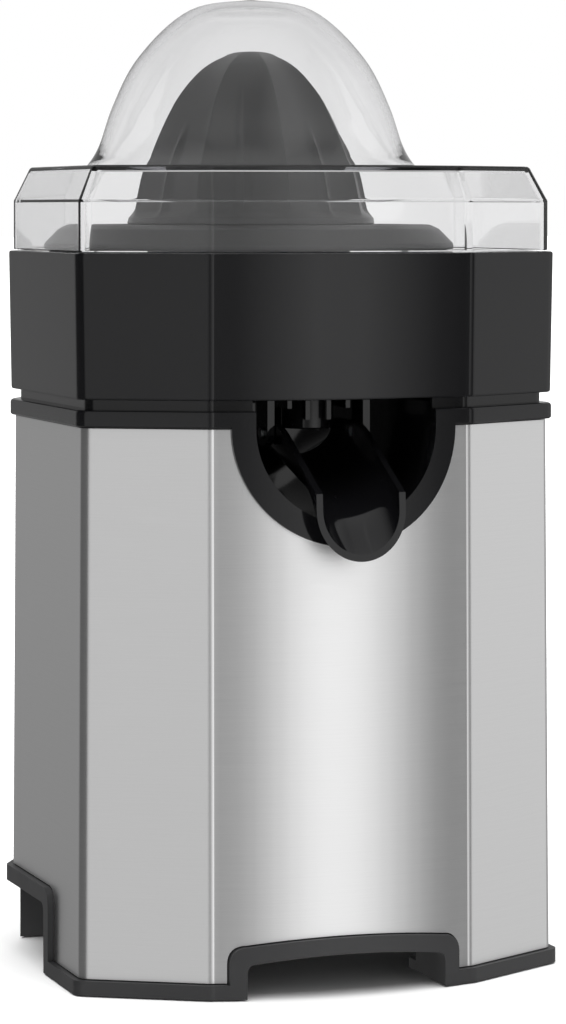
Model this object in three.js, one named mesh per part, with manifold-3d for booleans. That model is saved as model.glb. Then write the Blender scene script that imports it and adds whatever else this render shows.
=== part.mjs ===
// Citrus press juicer: an eight-sided motor base in sheet steel, a juice collector with a
// flip-up spout, a round strainer basket, a ribbed reamer and a clear cover.
// Millimetres, +Z up, -Y is the front (the spout side), and z = 0 is the table.
import * as THREE from 'three';
import { mergeVertices } from 'three/addons/utils/BufferGeometryUtils.js';
import Module from 'manifold-3d';

const wasm = await Module();
wasm.setup();

// ---- clearances -----------------------------------------------------------------------
const SEAT_GAP = 0.3;              // between pieces that touch or rest on each other
const SLIP_GAP = 0.3;              // between a moving round piece and its hole
const LIFT_GAP = 1.0;              // around pieces that lift off by hand

// ---- plan of the body, measured from the reamer axis ----------------------------------
const HALF_WIDTH = 75;
const FRONT_HALF = 41.2;           // half width of the front face
const FRONT_REACH = 85.1;          // axis to the side edges of the front face
const FRONT_BULGE = 6.5;           // how far the middle of the front face stands out
const SIDE_FRONT = 65.7;           // axis to the front end of each side face
const SIDE_BACK = 11.3;            // axis to the rear end of each side face
const BACK_HALF = 41.2;
const BACK_REACH = 69;
const BEND_RADIUS = 4.5;
const DRAFT = 1.2;                 // the steel is this much wider at its foot than at its top

// ---- heights above the table ----------------------------------------------------------
const TRIM_FOOT = 0.5;
const STEEL_FOOT = 4.8;
const BASE_PLATE_Z = 28;
const COLLAR_Z = 170.1;
const COLLAR_TOP = 175.2;
const BAND_Z = 178.3;
const BAND_TOP = 222;
const SHOULDER_TOP = 238;
const COVER_PLATE_TOP = 248.2;
const DOME_TOP = 301.9;

// ---- walls ----------------------------------------------------------------------------
const STEEL_WALL = 1;
const PLASTIC_WALL = 2.2;
const COVER_WALL = 2;

// ---- steps between the faces of neighbouring pieces ------------------------------------
const COLLAR_PROUD = 1.6;
const NECK_INSET = 1.6;
const BAND_PROUD_FOOT = 1.3;
const BAND_PROUD_TOP = 1.95;
const SHOULDER_PROUD = 0.45;
const COVER_PLATE_INSET = 4.7;
const TRIM_PROUD = 1.9;

// ---- recess and spout -----------------------------------------------------------------
const RECESS_Z = 170;              // centre height of the half-round recess
const RECESS_RADIUS = 28.5;
const BEZEL_WIDTH = 7;
const BEZEL_LAP = 2.5;             // how far the bezel covers the cut edge of the steel
const RECESS_BACK = 41.5;          // axis to the inner face of the recess's rear wall
const SPOUT_WIDTH = 28;
const SPOUT_WALL = 2;
const SPOUT_REACH = 103.7;         // axis to the tip of the spout
const SPOUT_LIP_Z = 131;
const SPOUT_HINGE_Y = -60;
const SPOUT_HINGE_Z = 167;
const SPOUT_BACK_Z = 158;          // underside of the trough at its back end
const SPOUT_SILL_GAP = 2;          // between the trough and the bottom of the recess
const SPOUT_DEPTH = 24;            // of the section before the rim is cut
const SPOUT_STEPS = 12;
const SPOUT_LIP_RIM_Z = 150.5;     // rim height at the lip
const SPOUT_RIM_BEND = 66;         // axis to where the rim starts to fall
const SPOUT_LIP_LEAN = 4;          // degrees the lip's edge leans back
const SPOUT_BACK_Y = -43;
const SPOUT_RIM_Z = 170.5;
const SPOUT_PIN_RADIUS = 1.6;
const EAR_WALL = 2.2;
const NOZZLE_Y = -54;
const NOZZLE_RADIUS = 8;
const NOZZLE_DROP = 14;

// ---- foot trim ------------------------------------------------------------------------
const BAND_EDGE = 5;               // width of the trim around the arches
const FRONT_ARCH_HALF = 31.5;
const FRONT_ARCH_TOP = 11;
const FRONT_ARCH_CROWN = 2;
const SIDE_ARCH_FRONT = -32;
const SIDE_ARCH_BACK = 26.5;
const SIDE_ARCH_TOP = 22;
const REAR_ARCH_HALF = 30;
const REAR_ARCH_TOP = 12;
const FOOT_PAD_RADIUS = 6.2;
const FOOT_PAD_HEIGHT = 3.2;
const FOOT_DEPTH = 26;             // how far each foot reaches in from the outline

// ---- strainer, reamer and collector ---------------------------------------------------
const BOWL_RADIUS = 63;
const BOWL_FLOOR_Z = 182;
const BASKET_RADIUS = 64.6;
const BASKET_RIM_TOP = 230;
const BASKET_FLOOR_Z = 221;
const BASKET_WALL = 1.8;
const SLOT_COUNT = 20;
const SLOT_WIDTH = 1.8;
const SLOT_INNER = 41.5;
const SLOT_OUTER = 49;
const SELECTOR_TAB_TURN = 18;      // degrees of room for the pulp tab each way
const CONE_TIP_Z = 285.4;
const CONE_BASE_Z = 230;
const CONE_RADIUS = 39.4;
const CONE_WALL = 2.4;
const CONE_RIBS = 8;
const RIB_DEPTH = 2.6;
const SHAFT_RADIUS = 4;
const SHAFT_FOOT_Z = 90;
const SHAFT_TOP_Z = 226;
const CHIMNEY_TOP = 206;
const CHIMNEY_BORE = 10.5;
const BOSS_RADIUS = 9;
const BOSS_TOP = 200;
const HUB_RADIUS = 7;

// ---- motor and gears ------------------------------------------------------------------
const MOTOR_MODULE = 1;
const ROTOR_TEETH = 10;
const IDLER_WHEEL_TEETH = 44;
const DRIVE_MODULE = 1.25;
const IDLER_PINION_TEETH = 12;
const OUTPUT_TEETH = 48;
const PRESS_TRAVEL = 4;            // how far the reamer sinks to close the switch
const GEARBOX_Z = 94;
const GEARBOX_TOP = 126;
const OUTPUT_GEAR_Z = 114;
const GEAR_FACE = 7;
const STACK_Z = 60;
const STACK_HEIGHT = 22;
const ROTOR_RADIUS = 15;
const ROTOR_HEADING = -115;        // degrees, from the idler axis to the rotor axis

const axisGap = (module, teethA, teethB) => (module * (teethA + teethB)) / 2;
const IDLER_Y = axisGap(DRIVE_MODULE, IDLER_PINION_TEETH, OUTPUT_TEETH);
const ROTOR_GAP = axisGap(MOTOR_MODULE, ROTOR_TEETH, IDLER_WHEEL_TEETH);
const ROTOR_X = ROTOR_GAP * Math.cos(THREE.MathUtils.degToRad(ROTOR_HEADING));
const ROTOR_Y = IDLER_Y + ROTOR_GAP * Math.sin(THREE.MathUtils.degToRad(ROTOR_HEADING));

// ---- finishes -------------------------------------------------------------------------
const FINISHES = {
  steel: { color: 0xb9bbbd, roughness: 0.32, metalness: 1 },
  plastic: { color: 0x1b1b1d, roughness: 0.35, metalness: 0 },
  glossy: { color: 0x0c0c0e, roughness: 0.12, metalness: 0 },
  clear: { color: 0xe6e9ec, roughness: 0.05, metalness: 0, transparent: true, opacity: 0.3 },
  rubber: { color: 0x141414, roughness: 0.85, metalness: 0 },
  nylon: { color: 0xe9e4d6, roughness: 0.5, metalness: 0 },
  bronze: { color: 0x9a7440, roughness: 0.4, metalness: 1 },
  copper: { color: 0xb5663a, roughness: 0.4, metalness: 1 },
  iron: { color: 0x6d7075, roughness: 0.5, metalness: 1 },
  zinc: { color: 0xa8aaad, roughness: 0.35, metalness: 1 },
  casing: { color: 0x3c3e42, roughness: 0.6, metalness: 0 },
};

// ---- solids ---------------------------------------------------------------------------
function signedVolume(points, triangles) {
  const corners = [new THREE.Vector3(), new THREE.Vector3(), new THREE.Vector3()];
  let volume = 0;
  for (let t = 0; t < triangles.length; t += 3) {
    corners.forEach((corner, k) => corner.fromArray(points, 3 * triangles[t + k]));
    volume += corners[0].dot(corners[1].cross(corners[2])) / 6;
  }
  return volume;
}

function solidFrom(geometry) {
  geometry.deleteAttribute('normal');
  geometry.deleteAttribute('uv');
  const merged = mergeVertices(geometry, 1e-4);
  const points = Float32Array.from(merged.attributes.position.array);
  const triangles = [];
  for (let t = 0; t < merged.index.count; t += 3) {
    const [a, b, c] = [0, 1, 2].map((k) => merged.index.getX(t + k));
    if (a !== b && b !== c && c !== a) triangles.push(a, b, c);
  }
  if (signedVolume(points, triangles) < 0) triangles.reverse();
  const mesh = { numProp: 3, vertProperties: points, triVerts: Uint32Array.from(triangles) };
  return new wasm.Manifold(new wasm.Mesh(mesh));
}

function geometryFrom(solid) {
  const mesh = solid.getMesh();
  const geometry = new THREE.BufferGeometry();
  geometry.setAttribute('position', new THREE.BufferAttribute(mesh.vertProperties, 3));
  geometry.setIndex(new THREE.BufferAttribute(mesh.triVerts, 1));
  geometry.computeVertexNormals();
  return geometry;
}

const join = (...solids) => solids.reduce((sum, solid) => sum.add(solid));
const cut = (solid, ...tools) => tools.reduce((rest, tool) => rest.subtract(tool), solid);

function extruded(shape, depth, curveSegments) {
  return new THREE.ExtrudeGeometry(shape, { depth, bevelEnabled: false, curveSegments });
}

// A plate of the given outline, from one height to another.
function slab(shape, from, to, curveSegments = 4) {
  const geometry = extruded(shape, to - from, curveSegments);
  geometry.translate(0, 0, from);
  return solidFrom(geometry);
}

// The same, pushed along Y (towards the back) with the outline drawn in X and Z.
function slabAlongY(shape, from, to, curveSegments = 4) {
  const geometry = extruded(shape, to - from, curveSegments);
  geometry.rotateX(Math.PI / 2);
  geometry.translate(0, to, 0);
  return solidFrom(geometry);
}

// The same, pushed along X, with the outline drawn in Y and Z.
function slabAlongX(shape, from, to, curveSegments = 4) {
  const geometry = extruded(shape, to - from, curveSegments);
  geometry.rotateX(Math.PI / 2);
  geometry.rotateZ(Math.PI / 2);
  geometry.translate(from, 0, 0);
  return solidFrom(geometry);
}

function rod(radius, from, to, segments = 16) {
  const geometry = new THREE.CylinderGeometry(radius, radius, to - from, segments);
  geometry.rotateX(Math.PI / 2);
  geometry.translate(0, 0, (from + to) / 2);
  return solidFrom(geometry);
}

function rodAlongX(radius, from, to, segments = 12) {
  const geometry = new THREE.CylinderGeometry(radius, radius, to - from, segments);
  geometry.rotateZ(Math.PI / 2);
  geometry.translate((from + to) / 2, 0, 0);
  return solidFrom(geometry);
}

function rodAlongY(radius, from, to, segments = 12) {
  const geometry = new THREE.CylinderGeometry(radius, radius, to - from, segments);
  geometry.translate(0, (from + to) / 2, 0);
  return solidFrom(geometry);
}

// A turned piece: its half section is given as [radius, height] pairs.
function turned(profile, segments = 48) {
  const points = profile.map(([radius, height]) => new THREE.Vector2(radius, height));
  if (profile[0][0] > 0) points.push(points[0].clone());
  const geometry = new THREE.LatheGeometry(points, segments);
  geometry.rotateX(Math.PI / 2);
  return solidFrom(geometry);
}

const ring = (outer, inner, from, to, segments = 16) =>
  turned([[outer, from], [outer, to], [inner, to], [inner, from]], segments);

function block(x0, x1, y0, y1, z0, z1) {
  const geometry = new THREE.BoxGeometry(x1 - x0, y1 - y0, z1 - z0);
  geometry.translate((x0 + x1) / 2, (y0 + y1) / 2, (z0 + z1) / 2);
  return solidFrom(geometry);
}

// ---- the eight-sided outline ----------------------------------------------------------
const RIGHT_CORNERS = [
  [FRONT_HALF, -FRONT_REACH], [HALF_WIDTH, -SIDE_FRONT], [HALF_WIDTH, SIDE_BACK], [BACK_HALF, BACK_REACH],
];
const LEFT_CORNERS = RIGHT_CORNERS.map(([x, y]) => [-x, y]).reverse();
const CORNERS = [...RIGHT_CORNERS, ...LEFT_CORNERS].map(([x, y]) => new THREE.Vector2(x, y));
const BEND_STEPS = 2;
const BULGE_STEPS = 8;

// Corner points of the outline moved outward by the given amount.
function grownCorners(grow) {
  return CORNERS.map((corner, i) => {
    const before = CORNERS[(i + CORNERS.length - 1) % CORNERS.length];
    const after = CORNERS[(i + 1) % CORNERS.length];
    const along = [corner.clone().sub(before).normalize(), after.clone().sub(corner).normalize()];
    const normals = along.map((way) => new THREE.Vector2(way.y, -way.x));
    const share = 1 + normals[0].dot(normals[1]);
    return corner.clone().addScaledVector(normals[0].add(normals[1]), grow / share);
  });
}

// The full outline: a round bend at each corner and a bulging front face.
function outlinePoints(grow) {
  const corners = grownCorners(grow);
  const points = [];
  corners.forEach((corner, i) => {
    const before = corners[(i + corners.length - 1) % corners.length];
    const after = corners[(i + 1) % corners.length];
    const back = before.clone().sub(corner).normalize();
    const ahead = after.clone().sub(corner).normalize();
    const halfTurn = (Math.PI - Math.acos(back.dot(ahead))) / 2;
    const reach = BEND_RADIUS * Math.tan(halfTurn);
    const start = corner.clone().addScaledVector(back, reach);
    const end = corner.clone().addScaledVector(ahead, reach);
    points.push(...new THREE.QuadraticBezierCurve(start, corner, end).getPoints(BEND_STEPS));
  });
  const right = points[0];
  const left = points[points.length - 1];
  const crown = new THREE.Vector2(0, right.y - 2 * FRONT_BULGE);
  const front = new THREE.QuadraticBezierCurve(left, crown, right).getPoints(BULGE_STEPS);
  return [...points, ...front.slice(1, -1)];
}

// A solid of the outline whose size changes with height: levels are [height, grow] pairs.
function loft(...levels) {
  const flat = outlinePoints(0);
  const rings = levels.map(([, grow]) => outlinePoints(grow));
  const steps = levels.length - 1;
  const options = { depth: steps, steps, bevelEnabled: false };
  const geometry = new THREE.ExtrudeGeometry(new THREE.Shape(flat), options);
  const position = geometry.attributes.position;
  for (let v = 0; v < position.count; v += 1) {
    const level = Math.round(position.getZ(v));
    const spot = new THREE.Vector2(position.getX(v), position.getY(v));
    const index = flat.findIndex((point) => point.distanceTo(spot) < 1e-3);
    const moved = rings[level][index];
    position.setXYZ(v, moved.x, moved.y, levels[level][0]);
  }
  return solidFrom(geometry);
}

const prism = (grow, from, to) => loft([from, grow], [to, grow]);

// An arch outline with round shoulders and a crowned top, open at the bottom.
function archShape(left, right, top, crown, shoulder) {
  const floor = -BAND_EDGE;
  const shape = new THREE.Shape();
  shape.moveTo(left, floor);
  shape.lineTo(right, floor);
  shape.lineTo(right, top - shoulder);
  shape.quadraticCurveTo(right, top, right - shoulder, top);
  shape.quadraticCurveTo((left + right) / 2, top + 2 * crown, left + shoulder, top);
  shape.quadraticCurveTo(left, top, left, top - shoulder);
  return shape;
}

// All four arches, with every edge moved outward by the given amount.
function arches(grow) {
  const shoulder = 3 + grow / 2;
  const far = 2 * HALF_WIDTH;
  const front = archShape(-FRONT_ARCH_HALF - grow, FRONT_ARCH_HALF + grow, FRONT_ARCH_TOP + grow,
    FRONT_ARCH_CROWN, shoulder);
  const rear = archShape(-REAR_ARCH_HALF - grow, REAR_ARCH_HALF + grow, REAR_ARCH_TOP + grow, 0, shoulder);
  const side = archShape(SIDE_ARCH_FRONT - grow, SIDE_ARCH_BACK + grow, SIDE_ARCH_TOP + grow, 0, shoulder);
  return join(slabAlongY(front, -far, 0, 6), slabAlongY(rear, 0, far, 3), slabAlongX(side, -far, far, 3));
}

// ---- scene ----------------------------------------------------------------------------
const group = new THREE.Group();
const machine = new THREE.Group();
group.add(machine);
// The model's origin is under the middle of its footprint, so the axis sits behind it.
machine.position.y = (SPOUT_REACH - BACK_REACH - TRIM_PROUD - DRAFT) / 2;

function place(name, solid, finish, [x, y, z] = [0, 0, 0], turn = 0) {
  const mesh = new THREE.Mesh(geometryFrom(solid), new THREE.MeshStandardMaterial(FINISHES[finish]));
  mesh.name = name;
  mesh.position.set(x, y, z);
  mesh.rotation.z = turn;
  machine.add(mesh);
}

// Left and right copies of each [x, y] spot.
const mirrored = (...spots) => spots.flatMap(([x, y]) => [[-x, y], [x, y]]);
// One copy of a solid at each [x, y] spot.
const standing = (solid, spots) => spots.map(([x, y]) => solid.translate([x, y, 0]));

// ---- foot trim, pads and base plate ---------------------------------------------------
const FOOT_SPOTS = mirrored([HALF_WIDTH - 19, 3.7 - SIDE_FRONT], [HALF_WIDTH - 25, BACK_REACH - 29]);
const COLUMN_SPOTS = mirrored([HALF_WIDTH - 18, 15.7 - SIDE_FRONT], [HALF_WIDTH - 26, BACK_REACH - 36]);
const COLUMN_RADIUS = 4.5;
const SCREW_HOLE = 1.7;
const SCREW_RADIUS = 1.4;
const SCREW_HEAD_RADIUS = 3;
const TRIM_INNER = -(STEEL_WALL + SEAT_GAP);
const TRIM_WALL = 2.2;
const LEDGE_WIDTH = 4;
const WEB_WALL = 2;

function baseTrim() {
  const wallIn = TRIM_INNER - TRIM_WALL;
  const ledgeZ = BASE_PLATE_Z - SEAT_GAP - WEB_WALL;
  const wallTop = BASE_PLATE_Z - SEAT_GAP;
  const wall = cut(prism(TRIM_INNER, TRIM_FOOT, wallTop), prism(wallIn, -1, wallTop + 1));
  const edge = join(block(-200, 200, -200, 200, -1, STEEL_FOOT), arches(BAND_EDGE));
  const outer = prism(TRIM_PROUD + DRAFT, TRIM_FOOT, SIDE_ARCH_TOP + BAND_EDGE);
  const lip = cut(outer, prism(wallIn, -1, 40)).intersect(edge);
  const ledge = cut(prism(TRIM_INNER - 1, ledgeZ, wallTop), prism(wallIn - LEDGE_WIDTH, 0, 40));
  const inside = prism(TRIM_INNER - 1, TRIM_FOOT, ledgeZ + 1);
  const webs = mirrored([FRONT_ARCH_HALF + WEB_WALL / 2, 0]).map(([x]) =>
    block(x - WEB_WALL / 2, x + WEB_WALL / 2, -120, -SIDE_FRONT, TRIM_FOOT, ledgeZ));
  const sideWebs = [SIDE_ARCH_FRONT - WEB_WALL, SIDE_ARCH_BACK].flatMap((y) => mirrored([1, 0]).map(([way]) =>
    block(Math.min(way * 52, way * 90), Math.max(way * 52, way * 90), y, y + WEB_WALL, TRIM_FOOT, ledgeZ)));
  const rearWebs = mirrored([REAR_ARCH_HALF + WEB_WALL / 2, 0]).map(([x]) =>
    block(x - WEB_WALL / 2, x + WEB_WALL / 2, BACK_REACH - FOOT_DEPTH, 90, TRIM_FOOT, ledgeZ));
  const soles = [
    block(-90, -FRONT_ARCH_HALF, -120, SIDE_ARCH_FRONT, TRIM_FOOT, FOOT_PAD_HEIGHT + SEAT_GAP),
    block(FRONT_ARCH_HALF, 90, -120, SIDE_ARCH_FRONT, TRIM_FOOT, FOOT_PAD_HEIGHT + SEAT_GAP),
    block(-90, -REAR_ARCH_HALF, SIDE_ARCH_BACK, 90, TRIM_FOOT, FOOT_PAD_HEIGHT + SEAT_GAP),
    block(REAR_ARCH_HALF, 90, SIDE_ARCH_BACK, 90, TRIM_FOOT, FOOT_PAD_HEIGHT + SEAT_GAP),
  ];
  const feet = join(...webs, ...sideWebs, ...rearWebs, ...soles).intersect(inside);
  const well = prism(-FOOT_DEPTH, -1, 60);
  const padHoles = standing(rod(FOOT_PAD_RADIUS + SLIP_GAP, -1, 5), FOOT_SPOTS);
  const solid = cut(join(wall, lip, ledge), arches(0));
  return cut(join(solid, cut(feet, well)), ...padHoles);
}
place('base_trim', baseTrim(), 'plastic');

FOOT_SPOTS.forEach(([x, y], i) => {
  place(`rubber_foot_${i + 1}`, rod(FOOT_PAD_RADIUS, 0, FOOT_PAD_HEIGHT), 'rubber', [x, y, 0]);
});

const SPOOL_RADIUS = 26;
const SPOOL_FOOT_Z = 7;
const GLAND_Y = 44;
const GLAND_RADIUS = 5.7;
const CORD_BORE = 3.6;

function basePlate() {
  const top = BASE_PLATE_Z + 2.5;
  const plate = prism(TRIM_INNER - TRIM_WALL - SEAT_GAP, BASE_PLATE_Z, top);
  const spool = ring(SPOOL_RADIUS, SPOOL_RADIUS - 2, SPOOL_FOOT_Z, BASE_PLATE_Z + 1, 32);
  const lug = block(SPOOL_RADIUS - 1, SPOOL_RADIUS + 11, -7, 7, SPOOL_FOOT_Z, SPOOL_FOOT_Z + 2.4);
  const lugs = [0, 1, 2, 3].map((i) => lug.rotate([0, 0, 45 + 90 * i]));
  const vents = [-2, -1, 0, 1, 2].map((i) => block(6 * i - 1.5, 6 * i + 1.5, -14, 14, 0, 60));
  const holes = standing(rod(SCREW_HOLE, 0, 60, 12), COLUMN_SPOTS);
  const glandHole = rod(GLAND_RADIUS + SEAT_GAP, 0, 60).translate([0, GLAND_Y, 0]);
  return cut(join(plate, spool, ...lugs), ...vents, ...holes, glandHole);
}
place('base_plate', basePlate(), 'plastic');

// The bush that the mains cord leaves through; the cord itself is not part of the model.
const GLAND = [
  [GLAND_RADIUS, 0], [GLAND_RADIUS, 8], [CORD_BORE, 8], [CORD_BORE, -6],
  [GLAND_RADIUS - 1, -6], [GLAND_RADIUS + 2, -SEAT_GAP - 2], [GLAND_RADIUS + 2, -SEAT_GAP],
  [GLAND_RADIUS, -SEAT_GAP],
];
place('cord_gland', turned(GLAND, 16), 'rubber', [0, GLAND_Y, BASE_PLATE_Z]);

// A screw that points up: its head sits under height 0.
function screw(length) {
  const head = [[0, -2.4], [2.2, -2.4], [SCREW_HEAD_RADIUS, -1.4], [SCREW_HEAD_RADIUS, -SEAT_GAP]];
  const shank = [[SCREW_RADIUS, -SEAT_GAP], [SCREW_RADIUS, length - 1.5], [0, length]];
  return cut(turned([...head, ...shank], 8), block(-2, 2, -0.5, 0.5, -3, -1.5));
}
COLUMN_SPOTS.forEach(([x, y], i) => {
  place(`base_screw_${i + 1}`, screw(12), 'zinc', [x, y, BASE_PLATE_Z]);
});

// ---- steel body -----------------------------------------------------------------------
const halfRound = (radius) => {
  const shape = new THREE.Shape();
  shape.absarc(0, RECESS_Z, radius, Math.PI, 2 * Math.PI, false);
  shape.lineTo(radius, BAND_TOP);
  shape.lineTo(-radius, BAND_TOP);
  return shape;
};

function bodyShell() {
  const foot = STEEL_FOOT + SEAT_GAP;
  const top = COLLAR_Z - SEAT_GAP;
  const outside = loft([foot, DRAFT], [top, 0]);
  const inside = loft([foot - 1, DRAFT - STEEL_WALL], [top + 1, -STEEL_WALL]);
  const mouth = slabAlongY(halfRound(RECESS_RADIUS + BEZEL_WIDTH - BEZEL_LAP), -150, -40, 12);
  return cut(outside, inside, arches(BAND_EDGE + SEAT_GAP), mouth);
}
place('body_shell', bodyShell(), 'steel');

// ---- upper housing: collar, bezel, recess, deck, posts --------------------------------
const DECK_Z = 174;
const DECK_TOP = 177;
const RECESS_WALL = 2;
const NECK_TOP = BOWL_FLOOR_Z - 1;
const GEARBOX_LID_TOP = GEARBOX_TOP + SEAT_GAP + 2.7;
const PAD_HEIGHT = 4;
const POST_FOOT_Z = GEARBOX_LID_TOP + PAD_HEIGHT + 2 * SEAT_GAP;
const POST_SPOTS = mirrored([37, -16], [32, 46]);
const POST_RADIUS = 4.5;
const SHAFT_WAY = SHAFT_RADIUS + 1;
const SEAL_RADIUS = 6.9;
const SEAL_HEIGHT = 3.4;
const TOWER_RADIUS = 9;
const TOWER_TOP = 166;

function recessTunnel() {
  const back = -RECESS_BACK + RECESS_WALL;
  const outside = slabAlongY(halfRound(RECESS_RADIUS + RECESS_WALL), -150, back, 10);
  const below = block(-200, 200, -200, 200, 100, DECK_Z + 1);
  const kept = below.intersect(prism(-STEEL_WALL - SEAT_GAP, 100, 200));
  return outside.intersect(kept);
}

function upperHousing() {
  const inner = -NECK_INSET - 2;
  const collar = cut(prism(COLLAR_PROUD, COLLAR_Z, COLLAR_TOP), prism(inner, 160, 190));
  const neck = cut(prism(-NECK_INSET, COLLAR_TOP - 1, NECK_TOP), prism(inner, 160, 190));
  const skirt = cut(prism(-STEEL_WALL - SEAT_GAP, 163, COLLAR_TOP), prism(inner, 160, 190));
  const deck = prism(inner + 1, DECK_Z, DECK_TOP);
  const bezelRound = slabAlongY(halfRound(RECESS_RADIUS + BEZEL_WIDTH), -150, -40, 12);
  const bezelSkin = cut(prism(COLLAR_PROUD, 120, COLLAR_Z + 1), prism(SEAT_GAP, 110, 190));
  const bezelRoot = cut(prism(COLLAR_PROUD, 120, COLLAR_Z + 1), prism(-STEEL_WALL - 2, 110, 190));
  const lip = slabAlongY(halfRound(RECESS_RADIUS + RECESS_WALL), -150, -40, 10).intersect(bezelRoot);
  const bezel = join(bezelSkin.intersect(bezelRound), lip);
  const boss = rod(BOSS_RADIUS, DECK_Z, BOSS_TOP);
  const posts = standing(rod(POST_RADIUS, POST_FOOT_Z, DECK_Z + 1, 12), POST_SPOTS);
  const columnFoot = BASE_PLATE_Z + 2.5 + SEAT_GAP;
  const columns = standing(rod(COLUMN_RADIUS, columnFoot, DECK_Z + 1, 12), COLUMN_SPOTS);
  const whole = join(collar, neck, skirt, deck, bezel, recessTunnel(), boss, ...posts, ...columns);
  const mouth = slabAlongY(halfRound(RECESS_RADIUS), -150, -RECESS_BACK, 12);
  const bore = rod(SHAFT_WAY, 100, 300);
  const towerHole = rod(TOWER_RADIUS + 1, 100, DECK_Z - 2);
  const sealSeat = rod(SEAL_RADIUS + SEAT_GAP, BOSS_TOP - SEAL_HEIGHT - SEAT_GAP, 300);
  return cut(whole, mouth, bore, towerHole, sealSeat, ...standing(rod(SCREW_HOLE, 20, 46, 12), COLUMN_SPOTS),
    ...standing(rod(SCREW_HOLE, 100, POST_FOOT_Z + 10, 12), POST_SPOTS));
}
place('upper_housing', upperHousing(), 'glossy');

const sealProfile = [
  [SEAL_RADIUS, 0], [SEAL_RADIUS, SEAL_HEIGHT - SEAT_GAP], [SHAFT_RADIUS + 2, SEAL_HEIGHT - SEAT_GAP],
  [SHAFT_RADIUS + SLIP_GAP, 2], [SHAFT_RADIUS + SLIP_GAP, 1], [SHAFT_RADIUS + 1.5, 0],
];
place('shaft_seal', turned(sealProfile, 16), 'rubber', [0, 0, BOSS_TOP - SEAL_HEIGHT]);

// ---- gears ----------------------------------------------------------------------------
const PRESSURE_ANGLE = THREE.MathUtils.degToRad(20);
const ADDENDUM = 0.8;
const DEDENDUM = 1.25;
const BACKLASH = 0.22;

const involute = (angle) => Math.tan(angle) - angle;

// Outline of a spur gear whose first tooth points along +X.
function gearShape(teeth, module) {
  const pitch = (module * teeth) / 2;
  const base = pitch * Math.cos(PRESSURE_ANGLE);
  const root = pitch - DEDENDUM * module;
  const tip = pitch + ADDENDUM * module;
  const halfAtPitch = Math.PI / (2 * teeth) - BACKLASH / (2 * pitch);
  const halfAt = (radius) => {
    const angle = radius > base ? Math.acos(base / radius) : 0;
    return halfAtPitch + involute(PRESSURE_ANGLE) - involute(angle);
  };
  const foot = Math.max(root, base);
  const radii = teeth < 20 ? [root, foot, pitch, tip] : [foot, tip];
  const falling = radii.map((radius) => [radius, halfAt(radius)]).reverse();
  const rising = radii.map((radius) => [radius, -halfAt(radius)]);
  const points = [];
  for (let tooth = 0; tooth < teeth; tooth += 1) {
    const centre = (2 * Math.PI * tooth) / teeth;
    for (const [radius, offset] of [...rising, ...falling]) {
      const angle = centre + offset;
      points.push(new THREE.Vector2(radius * Math.cos(angle), radius * Math.sin(angle)));
    }
  }
  return new THREE.Shape(points);
}

const LIGHTENING_HOLES = 4;

function webbedGear(teeth, module, width) {
  const pitch = (module * teeth) / 2;
  const hole = rod(pitch * 0.16, -1, width + 1, 8).translate([pitch * 0.6, 0, 0]);
  const holes = Array.from({ length: LIGHTENING_HOLES }, (unused, i) =>
    hole.rotate([0, 0, (360 * (i + 0.5)) / LIGHTENING_HOLES]));
  return cut(slab(gearShape(teeth, module), 0, width), ...holes);
}

const IDLER_AXLE_RADIUS = 2.5;
const IDLER_WHEEL_Z = 100;
const IDLER_WHEEL_FACE = 6;
const idlerToRotor = ROTOR_HEADING;
const idlerToOutput = -90;

// The idler wheel has a tooth towards the rotor; its pinion has a gap towards the output gear.
function idlerGear() {
  const wheel = webbedGear(IDLER_WHEEL_TEETH, MOTOR_MODULE, IDLER_WHEEL_FACE).rotate([0, 0, idlerToRotor]);
  const pinionTurn = idlerToOutput + 180 / IDLER_PINION_TEETH;
  const pinionTop = OUTPUT_GEAR_Z + GEAR_FACE + 2 - IDLER_WHEEL_Z;
  const pinion = slab(gearShape(IDLER_PINION_TEETH, DRIVE_MODULE), IDLER_WHEEL_FACE - 1, pinionTop);
  return cut(join(wheel, pinion.rotate([0, 0, pinionTurn])), rod(IDLER_AXLE_RADIUS + SLIP_GAP, -1, 60, 16));
}
place('idler_gear', idlerGear(), 'nylon', [0, IDLER_Y, IDLER_WHEEL_Z]);

function outputGear() {
  const gear = webbedGear(OUTPUT_TEETH, DRIVE_MODULE, GEAR_FACE).rotate([0, 0, 90]);
  return cut(join(gear, rod(8, 0, GEAR_FACE + 2)), rod(SHAFT_RADIUS + 0.05, -1, 60));
}
place('output_gear', outputGear(), 'nylon', [0, 0, OUTPUT_GEAR_Z]);

// ---- gearbox --------------------------------------------------------------------------
const OUTPUT_ROOM = (DRIVE_MODULE * OUTPUT_TEETH) / 2 + ADDENDUM * DRIVE_MODULE + 1;
const IDLER_ROOM = (MOTOR_MODULE * IDLER_WHEEL_TEETH) / 2 + ADDENDUM * MOTOR_MODULE + 1;
const BOX_WALL = 2;

function boxSolid(grow, from, to) {
  const neck = block(-IDLER_ROOM - grow, IDLER_ROOM + grow, 0, IDLER_Y, from, to);
  const idlerSide = rod(IDLER_ROOM + grow, from, to, 24).translate([0, IDLER_Y, 0]);
  return join(rod(OUTPUT_ROOM + grow, from, to, 28), neck, idlerSide);
}

// An ear that reaches out from the gearbox to a fastening at [x, y].
function ear(x, y, radius, from, to) {
  const bridge = block(Math.min(x, x / 3), Math.max(x, x / 3), y - radius + 1, y + radius - 1, from, to);
  return join(rod(radius, from, to, 16).translate([x, y, 0]), bridge);
}

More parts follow.
